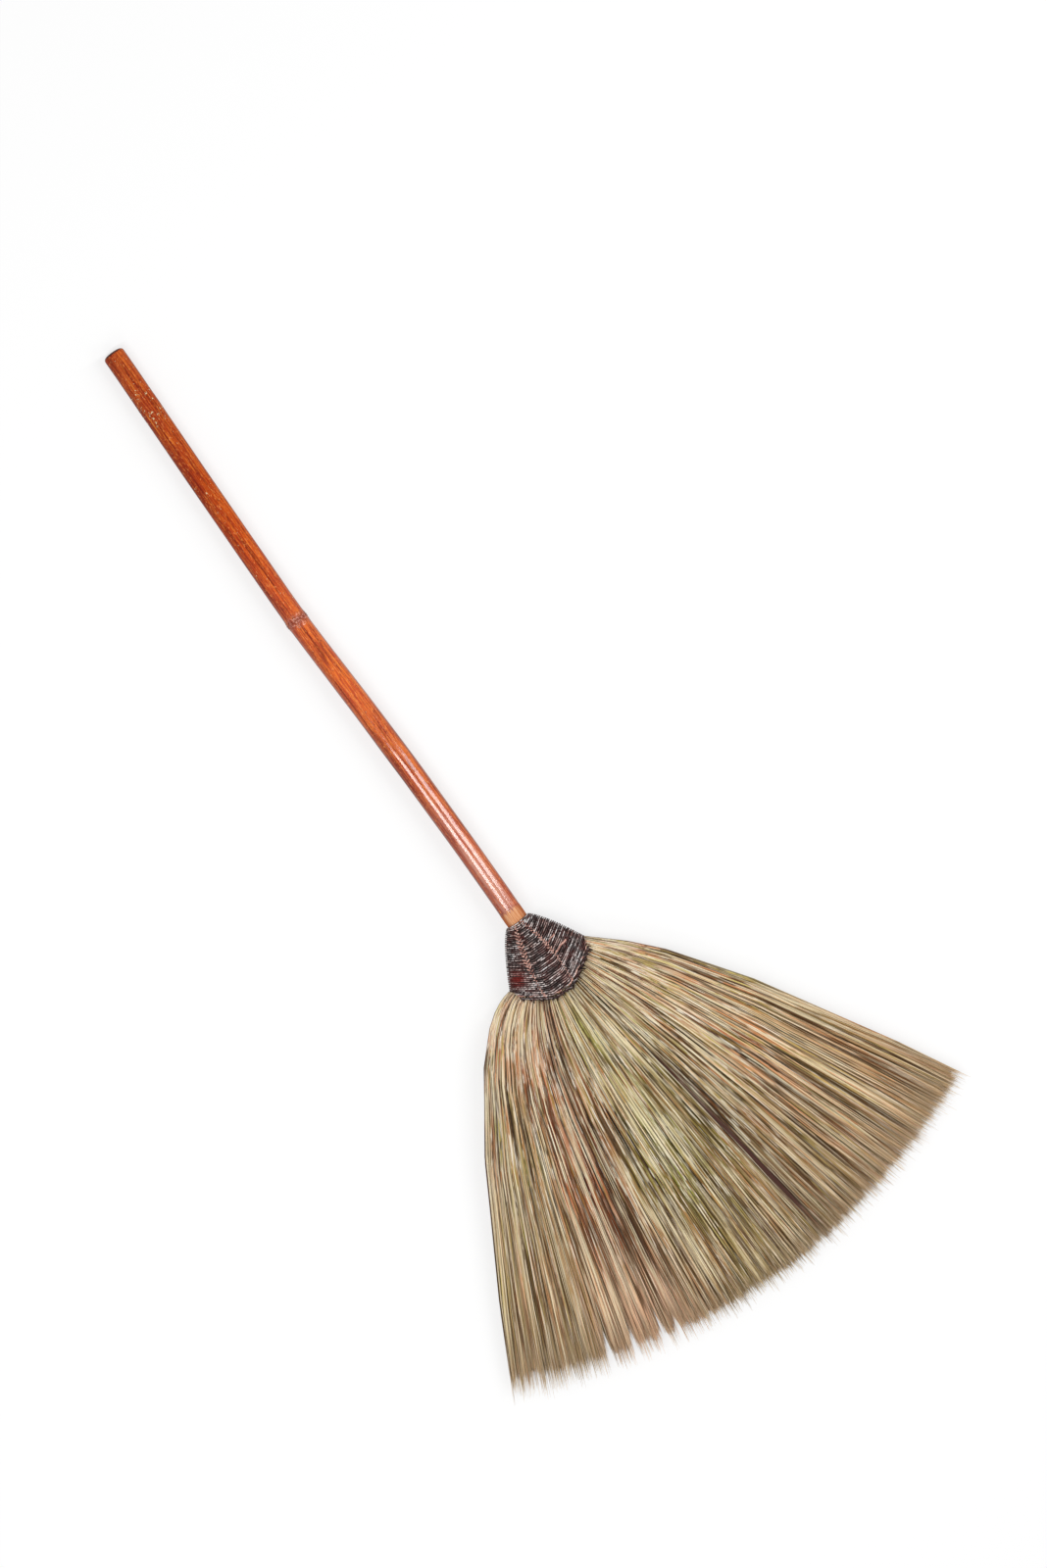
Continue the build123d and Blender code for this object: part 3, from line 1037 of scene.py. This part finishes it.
# %% Sew the seams
def seam_of_stitches(name, side, face, pitch, widths, replaced):
    """Pairs of stitches along a seam. Side is -1 or 1, face 1 on the front and -1 on the back."""
    parts_points = []
    middles = np.arange(0.0035, 0.0735, pitch)
    for number, middle in enumerate(middles):
        width = np.interp(middle, *widths)
        turn = face * seam_turn(middle, side)
        here = head_place(turn, middle)
        ahead = head_place(face * seam_turn(middle + 0.001, side), middle + 0.001)
        beside = head_place(turn + 0.02, middle)
        forward = (ahead - here) / np.linalg.norm(ahead - here)
        normal = np.cross(forward, beside - here)
        normal *= face * np.sign(normal[2]) / np.linalg.norm(normal)
        sideways = np.cross(normal, forward)
        for leg in (-1, 1):
            lean = math.radians(38) + seeded.uniform(-0.2, 0.2)
            direction = -forward * math.sin(lean) + leg * sideways * math.cos(lean)
            centre = here + direction * width * 0.28 + normal * 0.0012
            centre += forward * (0.25 * pitch * leg)
            thick = np.cross(normal, direction)
            half_length = width * 0.36 * seeded.uniform(0.8, 1.15)
            half_thick = 0.00040 + 0.045 * width
            axes = np.stack((direction * half_length, thick * half_thick, normal * half_thick))
            parts_points.append(stitch_points @ axes + centre)
    copies = len(parts_points)
    points = np.concatenate(parts_points)
    faces = repeated_faces(stitch_faces, len(stitch_points), copies)
    return new_piece(name, points, faces, {}, pink_cord, "pink_cord", [replaced])


left_widths = ((0, 0.010, 0.018, 0.046, 0.054, 0.075), (0.0024, 0.0036, 0.0062, 0.0060, 0.0030, 0.0022))
right_widths = ((0, 0.010, 0.042, 0.050, 0.075), (0.0028, 0.0036, 0.0042, 0.0022, 0.0018))
seam_of_stitches("stitches_front_left", -1, 1, 0.0033, left_widths, "seam_front_left")
seam_of_stitches("stitches_front_right", 1, 1, 0.0031, right_widths, "seam_front_right")
seam_of_stitches("stitches_back_left", -1, -1, 0.0033, left_widths, "seam_back_left")
seam_of_stitches("stitches_back_right", 1, -1, 0.0031, right_widths, "seam_back_right")

# %% [markdown]
# ## Pale cords
#
# Two pale cords cross the right hank, and one thin pale thread runs along the rim, in and out of the rows.

# %% Pale cords
pale_parts = []
for start_row, start_turn, end_row, end_turn, radius in (
    (0.0440, 1.24, 0.0475, 0.78, 0.00085),
    (0.0330, 1.22, 0.0345, 0.86, 0.00060),
):
    share = np.linspace(0, 1, 40)
    lay = 0.0004 * np.sin(share * 9)
    middle = start_row + (end_row - start_row) * share + lay
    path = head_place(start_turn + (end_turn - start_turn) * share, middle, inset=-0.0010)
    pale_parts.append(tube(path, radius * (1 + 0.12 * np.sin(share * 60)), tube_sides, upright))
thread_radius = 0.00052
thread_depth = 0.0716
thread_steps = 700
loop_turns = np.linspace(0, 2 * math.pi, thread_steps, endpoint=False)
weave = np.sin(loop_turns * 23) + 0.7 * np.sin(loop_turns * 5 + 1)
path = head_place(loop_turns, thread_depth + 0.0005 * np.sin(loop_turns * 31), inset=-0.0007 * weave)
pale_parts.append(tube(path, np.full(thread_steps, thread_radius), tube_sides, upright, closed=True))
new_piece("pale_cord", *merged(pale_parts), pink_cord, "pink_cord", ["seam_front_right"])

# %% [markdown]
# ## Grass
#
# We model one stem: a slim three-sided blade, thickest halfway and drawn out to a point. Its
# rings are close together near the head, where the paths bend most.

# %% One stem
ring_places = (0.0, 0.06, 0.12, 0.19, 0.28, 0.44, 0.68, 0.92, 0.996)
ring_sizes = (0.50, 0.60, 0.72, 0.85, 0.95, 1.0, 0.92, 0.66, 0.12)
bpy.ops.object.select_all(action="DESELECT")
bpy.ops.mesh.primitive_circle_add(vertices=3, radius=ring_sizes[0], fill_type="NGON")
stem = bpy.context.object
bpy.ops.object.mode_set(mode="EDIT")
bpy.ops.mesh.select_all(action="SELECT")
for number in range(1, len(ring_places)):
    height = ring_places[number] - ring_places[number - 1]
    share = ring_sizes[number] / ring_sizes[number - 1]
    bpy.ops.mesh.extrude_region_move(TRANSFORM_OT_translate={"value": (0, 0, height)})
    bpy.ops.transform.resize(value=(share, share, 1), center_override=(0, 0, ring_places[number]))
bpy.ops.mesh.extrude_region_move(TRANSFORM_OT_translate={"value": (0, 0, 1 - ring_places[-1])})
bpy.ops.mesh.merge(type="CENTER")
bpy.ops.mesh.select_all(action="SELECT")
bpy.ops.mesh.normals_make_consistent(inside=False)
bpy.ops.object.mode_set(mode="OBJECT")
stem_points, stem_faces = shape_of(stem)
print("one stem has", len(stem_points), "points and", sum(len(group) for group in stem_faces), "faces")

# %% [markdown]
# ## Sizes of the fan
#
# The stems stand round the rim of the head, and their tips lie on a wide arc. Shares run across the fan,
# from -1 at its left edge to 1 at its right one. Pairs of sizes are for the left and the right edge, fours
# are for the four points that a path is drawn with. A gap between tips has its share and its depth.

# %% Sizes of the fan
rim_centre = 0.026
root_radius = 0.044
root_spread = math.radians(64.5)
tip_arc = 0.625
tip_reach = fan_reach + 0.015
edge_swings = math.radians(82.0), math.radians(46.0)
tip_half_widths = 0.2570, 0.2490
edge_leans = math.radians(28.4), math.radians(29.0)
thinnest_stem = 0.00042
thickest_stem = 0.00088
half_heights = 0.0122, 0.0200, 0.0125, 0.0074
sinks = 0.0, 0.0, 0.0056, 0.0104
height_scatters = 0.0, 0.0008, 0.0013, 0.0009
skin_thickness = 0.0024
clump_count = 42
stray_share = 0.03
longest_share = 0.17
fringe_length = 0.024
gap_half_width = 0.009
gaps = ((-0.65, 0.040), (-0.555, 0.030), (-0.445, 0.030), (-0.39, 0.020))


def direction(lean):
    """Side and depth of a unit step at an angle from straight down."""
    return np.stack((np.sin(lean), np.cos(lean)), axis=-1)


def between(middle_value, left_value, right_value, share):
    """A value that goes from the middle of the fan to its own value at each edge."""
    edge_value = np.where(share < 0, left_value, right_value)
    return middle_value + (edge_value - middle_value) * np.abs(share) ** 1.5


print("gaps between the tips:", len(gaps))

# %% [markdown]
# ## Clumps and tips
#
# Neighbours gather into small clumps towards the tips, as real grass does, and each layer of stems has
# its own clumps. Most stems end a little short of the arc, so the few longest make a soft fringe.


# %% Clumps and tips
def clumped(share, level):
    """The share at which each tip lies, and how much shorter its clump makes the stem."""
    count = len(share)
    offset = np.floor(level * 4.999) * 0.37
    clump = np.floor((share + 1) / 2 * clump_count + offset)
    clump_middle = (clump + 0.5 - offset) / clump_count * 2 - 1
    luck = np.sin(clump * 12.9898 + offset * 78.233) * 43758.5453
    luck = luck - np.floor(luck)
    tip_share = share + (0.15 + 0.45 * luck) * (clump_middle - share) + seeded.normal(0, 0.0035, count)
    stray = seeded.uniform(0, 1, count) < stray_share
    tip_share = np.clip(tip_share + stray * seeded.normal(0, 0.05, count), -1.0, 1.0)
    clump_edge = np.abs(share - clump_middle) * clump_count
    return tip_share, 0.005 * luck + 0.004 * clump_edge ** 2


def cut_short(share, tip_share):
    """How far short of the arc each stem ends. The few longest nearly reach it."""
    count = len(share)
    longest = seeded.uniform(0, 1, count) < longest_share
    common_cut = 0.013 + 0.012 * np.clip(-share, 0, 1) + seeded.exponential(0.009, count)
    fringe_cut = fringe_length * np.sqrt(seeded.uniform(0, 1, count))
    short = np.where(longest, fringe_cut, np.minimum(common_cut, 0.050))
    for gap_share, gap_depth in gaps:
        in_gap = np.exp(-((tip_share - gap_share) / gap_half_width) ** 2)
        short += gap_depth * in_gap * seeded.uniform(0.45, 1.0, count)
    return short


print("there are", clump_count, "clumps in each layer")

# %% [markdown]
# ## Course of a stem
#
# A stem's path is a curve with four control points. It leaves the rim along the hank's lean, swings into
# the fan and runs straight to its tip. Level goes from 0 on the floor's side to 1 on the camera's side.


# %% Course of the stems
def heights_of(share, level):
    """The heights of the four control points, and how buried each stem is, from 0 on the surface to 1."""
    up = 2 * level - 1
    reach = np.abs(share)
    round_edge = np.sqrt(1 - 0.75 * reach ** 6)
    root_edge = np.maximum(1 - reach ** 2.4, 0.03) ** (1 / 2.4)
    edges = (root_edge, round_edge, round_edge, round_edge)
    luck = seeded.normal(0, 1, len(share))
    heights = []
    for half, sink, scatter, edge in zip(half_heights, sinks, height_scatters, edges):
        heights.append(half * edge * up + scatter * luck - sink)
    outwards = np.abs(heights[2] + sinks[2])
    return heights, np.clip((1.04 * half_heights[2] * round_edge - outwards) / skin_thickness, 0, 1)


def stem_paths(share, level):
    """Four control points of each stem's path, the part it fills, its tip's share and how buried it is."""
    count = len(share)
    reach = np.abs(share)
    left = share < 0
    tip_share, short = clumped(share, level)
    short = short + cut_short(share, tip_share)

    first = direction(root_spread * share) * (root_radius + 0.0035 * reach ** 8 * left)[:, None]
    first[:, 1] += rim_centre
    swing = np.where(left, *edge_swings) * share
    second = first + direction(swing) * between(0.100, 0.036, 0.044, share)[:, None]
    tip_lean = np.arcsin(np.where(left, *tip_half_widths) * tip_share / tip_arc)
    last = direction(tip_lean) * tip_arc
    last[:, 1] += tip_reach - tip_arc
    end_lean = np.where(left, *edge_leans) * tip_share + seeded.normal(0, 0.009, count)
    last_reach = between(0.110, 0.283, 0.300, share)
    third = last - direction(end_lean) * last_reach[:, None]
    second[:, 0] += seeded.normal(0, 0.0012, count) * (1 - 0.8 * reach)
    third[:, 0] += seeded.normal(0, 0.0026, count) * (1 - 0.8 * reach)

    heights, buried = heights_of(share, level)
    plans = (first, second, third, last)
    corners = [at(plan[:, 0], plan[:, 1], height) for plan, height in zip(plans, heights)]
    return corners, 1 - short / (3 * last_reach), tip_share, buried


print("the middle of the arc is", round(tip_reach, 3), "below the neck")

# %% [markdown]
# ## Laying out the copies
#
# Every copy of the stem is bent along its own path, turned round itself by chance and made a little thicker
# or thinner. Its mesh carries the numbers that the finish reads.


# %% Copies of the stem along their paths
def bezier(corners, t):
    """Places and directions on the paths at the shares t, one row for each path."""
    a, b, c, d = (corner[:, None] for corner in corners)
    t = t[:, :, None]
    place = (1 - t) ** 3 * a + 3 * (1 - t) ** 2 * t * b + 3 * (1 - t) * t ** 2 * c + t ** 3 * d
    tangent = 3 * (1 - t) ** 2 * (b - a) + 6 * (1 - t) * t * (c - b) + 3 * t ** 2 * (d - c)
    return place, tangent / np.linalg.norm(tangent, axis=-1, keepdims=True)


def grow(name, share_range, level_range, count, hank):
    """One piece of grass with count stems, spread evenly over its shares and levels."""
    share = seeded.uniform(*share_range, count)
    level = seeded.uniform(*level_range, count)
    corners, filled, tip_share, buried = stem_paths(share, level)
    t = stem_points[:, 2]
    place, tangent = bezier(corners, filled[:, None] * t)
    first = np.cross(tangent, np.array((0.0, 0.0, 1.0)))
    first /= np.linalg.norm(first, axis=-1, keepdims=True)
    second = np.cross(tangent, first)
    turn = seeded.uniform(0, 2 * math.pi, count)[:, None]
    x = stem_points[:, 0] * np.cos(turn) - stem_points[:, 1] * np.sin(turn)
    y = stem_points[:, 0] * np.sin(turn) + stem_points[:, 1] * np.cos(turn)
    thickness = seeded.uniform(thinnest_stem, thickest_stem, count)[:, None, None]
    points = place + thickness * (x[..., None] * first + y[..., None] * second)
    points[..., 2] = np.maximum(points[..., 2], 0.0002)
    ones = np.ones(len(t))
    values = {
        "share": share[:, None] * ones,
        "across": share[:, None] + (tip_share - share)[:, None] * (3 * t ** 2 - 2 * t ** 3),
        "down": t * np.ones((count, 1)),
        "tone": seeded.uniform(0, 1, count)[:, None] * ones,
        "buried": buried[:, None] * ones,
    }
    faces = repeated_faces(stem_faces, len(stem_points), count)
    return new_piece(name, points.reshape(-1, 3), faces, values, grass, "grass", [hank])


print("stems can be laid out")

# %% [markdown]
# ## Dry grass
#
# The fan has zones of colour. Near the head it is peach and straw all across. Farther down its middle is
# olive, a band on the left is red-brown and the sides are pale yellow. Where zones meet is left to noise.

# %% Colours across the fan
grass, tree, shader = finish_of("dry_grass")
share = value_of("share")
across = value_of("across")
down = value_of("down")
tone = value_of("tone")
zone_place = together(times(share, 9), times(down, 2.4), 0.0)
zone_noise = sums("SUBTRACT", noise(zone_place, 3.0, 0.6), 0.5)
wander = sums("MULTIPLY_ADD", zone_noise, 0.16, share)
place_across = sums("MULTIPLY_ADD", wander, 0.5, 0.5)
peach = (246, 222, 202)
olive = (188, 184, 112)
brown = (216, 152, 118)
near = ramp(
    place_across,
    (0.0, *peach),
    (0.30, 236, 204, 180),
    (0.46, 224, 216, 178),
    (0.60, 222, 214, 174),
    (0.75, 232, 216, 188),
    (1.0, *peach),
)
far = ramp(
    place_across,
    (0.0, 234, 216, 182),
    (0.13, 220, 206, 164),
    (0.23, *brown),
    (0.33, 212, 176, 146),
    (0.45, *olive),
    (0.57, 188, 172, 124),
    (0.68, 206, 188, 144),
    (0.80, 248, 220, 186),
    (0.93, 250, 228, 188),
)
colour = blend("MIX", rise(down, 0.15, 0.60), near, far)
print("zones ready")

# %% [markdown]
# ## Single stems
#
# Each stem has its own tone, from pale to dark, and neighbours differ in hue: some are greener, some more
# orange. Along its length a stem carries dashes of painted shade and of painted highlight.

# %% Colours of single stems
clump_place = together(times(share, 90), times(down, 4), tone)
clump_noise = noise(clump_place, 3.0, 0.6)
colour = stained(colour, rise(clump_noise, 0.36, 0.60, 0.35, 0.0), 190, 172, 150)
own = ramp(
    tone,
    (0.0, 255, 246, 234),
    (0.20, 238, 218, 198),
    (0.38, 252, 248, 226),
    (0.55, 255, 246, 238),
    (0.68, 228, 206, 184),
    (0.78, 186, 158, 134),
    (0.87, 120, 98, 78),
    (1.0, 72, 58, 46),
)
colour = blend("MULTIPLY", 1.0, colour, own)
# Painted light: the edges of the fan, towards the head, are painted paler.
painted_light_edges = rise(sums("ABSOLUTE", share), 0.72, 1.0, 0.0, 0.4)
painted_light_edges = times(painted_light_edges, rise(down, 0.85, 0.45))
colour = over(colour, painted_light_edges, 252, 234, 212)
hue_place = together(times(across, 190), times(down, 4), 7.0)
hues = noise(hue_place, 1.0)
colour = stained(colour, rise(hues, 0.52, 0.62, 0.0, 0.9), 222, 230, 160)
colour = stained(colour, rise(hues, 0.48, 0.38, 0.0, 0.8), 255, 200, 162)
own_place = together(times(tone, 900), times(down, 9), share)
dashes = noise(own_place, 3.0, 0.6)
# Painted shade: dark dashes along the stems stand for the shadowed gaps between them.
colour = over(colour, rise(dashes, 0.57, 0.66, 0.0, 0.8), 72, 58, 44)
# Painted highlight: pale dashes along the stems.
highlight_dashes = noise(scaled(own_place, (1, 1, 1), (31, 17, 5)), 3.0, 0.6)
colour = over(colour, rise(highlight_dashes, 0.52, 0.63, 0.0, 0.8), 255, 246, 226)
# Painted light: the stems are painted lighter towards their tips.
colour = over(colour, rise(down, 0.60, 0.92, 0.0, 0.28), 236, 194, 150)
dry_zone = times(hump(share, -0.47, 0.30), rise(down, 0.78, 0.95, 0.0, 0.7))
colour = over(colour, dry_zone, 255, 214, 180)
print("single stems ready")

# %% [markdown]
# ## Lines along the stems
#
# Long strokes of painted shade and painted highlight follow the stems. They are finer across towards the
# tips, where the fan is wide. Stems that lie deeper in the fan get painted shade.

# %% Lines along the stems
near_lines = noise(together(times(across, 90), times(down, 3), 2.0), 2.0)
far_lines = noise(together(times(across, 230), times(down, 3), 2.0), 2.0)
line_share = rise(down, 0.10, 0.36)
near_lines = times(near_lines, sums("SUBTRACT", 1.0, line_share))
lines = sums("MULTIPLY_ADD", far_lines, line_share, near_lines)
# Painted shade and painted highlight: dark and pale strokes along the stems.
colour = stained(colour, rise(lines, 0.53, 0.60, 0.0, 0.9), 120, 102, 78)
colour = over(colour, rise(lines, 0.48, 0.40, 0.0, 0.65), 255, 242, 206)
shade = times(rise(value_of("buried"), 0.1, 0.9, 0.0, 0.6), rise(down, 0.92, 0.60, 0.25, 1.0))
colour = stained(colour, shade, 112, 92, 66)
print("lines ready")

# %% [markdown]
# ## Dark streak and painted light on the tips
#
# One streak right of the middle is nearly purple from halfway down. The last stretch of the tips is painted
# pale, as painted light.

# %% Dark streak and painted light on the tips
plum_line = hump(sums("MULTIPLY_ADD", zone_noise, 0.03, across), 0.25, 0.028)
plum_line = times(plum_line, rise(down, 0.24, 0.62, 0.0, 0.95))
plum_line = times(plum_line, rise(down, 0.88, 0.98, 1.0, 0.5))
colour = over(colour, plum_line, 84, 50, 44)
# Painted light: the last stretch of each stem is painted paler.
colour = over(colour, rise(down, 0.955, 0.995, 0.0, 0.3), 255, 226, 184)
surface(shader, colour, 0.5, 0.2)
relief(shader, dashes, 0.0001, 0.4)
print("grass finish has", len(tree.nodes), "nodes")

# %% [markdown]
# ## Growing the hanks
#
# Every hank is grown in layers, with more stems near the outside, where they show, than within. A row
# names the piece and the hank, then gives its shares, its levels and how many stems it has.

# %% Grow the hanks
left_part = -0.34
right_part = 0.17
layers = (
    ("grass_left_top", "hank_left", (-1, left_part), (0.70, 1.0), 3500),
    ("grass_left_inside", "hank_left", (-1, left_part), (0.25, 0.70), 2700),
    ("grass_left_under", "hank_left", (-1, left_part), (0.0, 0.25), 2500),
    ("grass_right_top", "hank_right", (right_part, 1), (0.70, 1.0), 3800),
    ("grass_right_inside", "hank_right", (right_part, 1), (0.25, 0.70), 3300),
    ("grass_right_under", "hank_right", (right_part, 1), (0.0, 0.25), 3000),
    ("grass_front_top", "hank_front", (left_part, right_part), (0.74, 1.0), 2700),
    ("grass_front_inside", "hank_front", (left_part, right_part), (0.5, 0.74), 1500),
    ("grass_back_inside", "hank_back", (left_part, right_part), (0.25, 0.5), 1400),
    ("grass_back_under", "hank_back", (left_part, right_part), (0.0, 0.25), 2000),
)
for name, hank, shares, levels, count in layers:
    grow(name, shares, levels, count, hank)

# %% [markdown]
# ## Stalks under the cord
#
# Inside the head the stems are packed so tightly that they are one firm body for each hank. Only glimpses
# show between the rows of cord, coloured dark as painted shade.

# %% Stalk finish
painted_shade_stalks, tree, shader = finish_of("painted_shade_stalks")
fibre = noise(scaled(places(), (900, 40, 900)), 3.0, 0.6)
# Painted shade: the stalks are painted dark brown where they show between the rows.
surface(shader, ramp(fibre, (0.35, 26, 17, 15), (0.55, 52, 32, 28), (0.75, 92, 66, 50)), 0.7)
relief(shader, fibre, 0.0002, 0.5)
print("stalk finish has", len(tree.nodes), "nodes")

# %% [markdown]
# ## Bodies of stalks
#
# Each body is a stack of rings. A ring follows one row of the winding, a little inside it, from one seam
# to the next.


# %% Packed stalks
def seam_at(middle, corner):
    """The turn of a seam at a row. A corner is a sign, a side and a number of whole turns."""
    sign, side, whole = corner
    return whole * 2 * math.pi + sign * seam_turn(middle, side)


def packed_stalks(name, start, end, replaced):
    """A closed body for one hank, from the neck to just inside the rim."""
    middles = np.concatenate(([0.0035], np.arange(0.009, 0.071, 0.005), [0.0712]))
    rings = []
    for middle in middles:
        turns = np.linspace(seam_at(middle, start), seam_at(middle, end), 17)
        rings.append(head_place(turns, middle, inset=0.0013))
    rings = np.array(rings)
    count, corners = rings.shape[:2]
    points = rings.reshape(-1, 3)
    ring = np.arange(corners)
    following = (ring + 1) % corners
    starts = np.arange(count - 1)[:, None] * corners
    above = starts + corners
    quads = np.stack((starts + ring, above + ring, above + following, starts + following), axis=-1)
    faces = [quads.reshape(-1, 4), np.stack((ring, ring[::-1] + (count - 1) * corners))]
    return new_piece(name, points, faces, {}, painted_shade_stalks, "grass", [replaced])


front_right, front_left = (1, 1, 0), (1, -1, 0)
back_left, back_right = (-1, -1, 1), (-1, 1, 1)
packed_stalks("stalks_right", (-1, 1, 0), front_right, "hank_right")
packed_stalks("stalks_front", front_right, front_left, "hank_front")
packed_stalks("stalks_left", front_left, back_left, "hank_left")
packed_stalks("stalks_back", back_left, back_right, "hank_back")

# %% [markdown]
# ## The peg
#
# The peg sits deep inside the head and never shows. It keeps its solid, with a split bamboo finish.

# %% Bamboo peg finish
bamboo, tree, shader = finish_of("split_bamboo")
spot = places()
splits = noise(scaled(spot, (1400, 1400, 60)), 3.0, 0.6)
surface(shader, ramp(splits, (0.3, 168, 132, 84), (0.6, 214, 186, 134)), 0.6)
relief(shader, splits, 0.0001, 0.5)
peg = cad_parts["handle_peg"]
peg.data.materials.clear()
peg.data.materials.append(bamboo)

# %% [markdown]
# ## Sizes at the end
#
# The looks should fill the same box as the solids. We print both boxes.

# %% Sizes and finish
visual_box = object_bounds()
boxes = {
    "cad": [[float(value) for value in corner] for corner in cad_box],
    "visual": [[float(value) for value in corner] for corner in visual_box],
}
for label, corners in boxes.items():
    print(label, [[round(value, 4) for value in corner] for corner in corners])
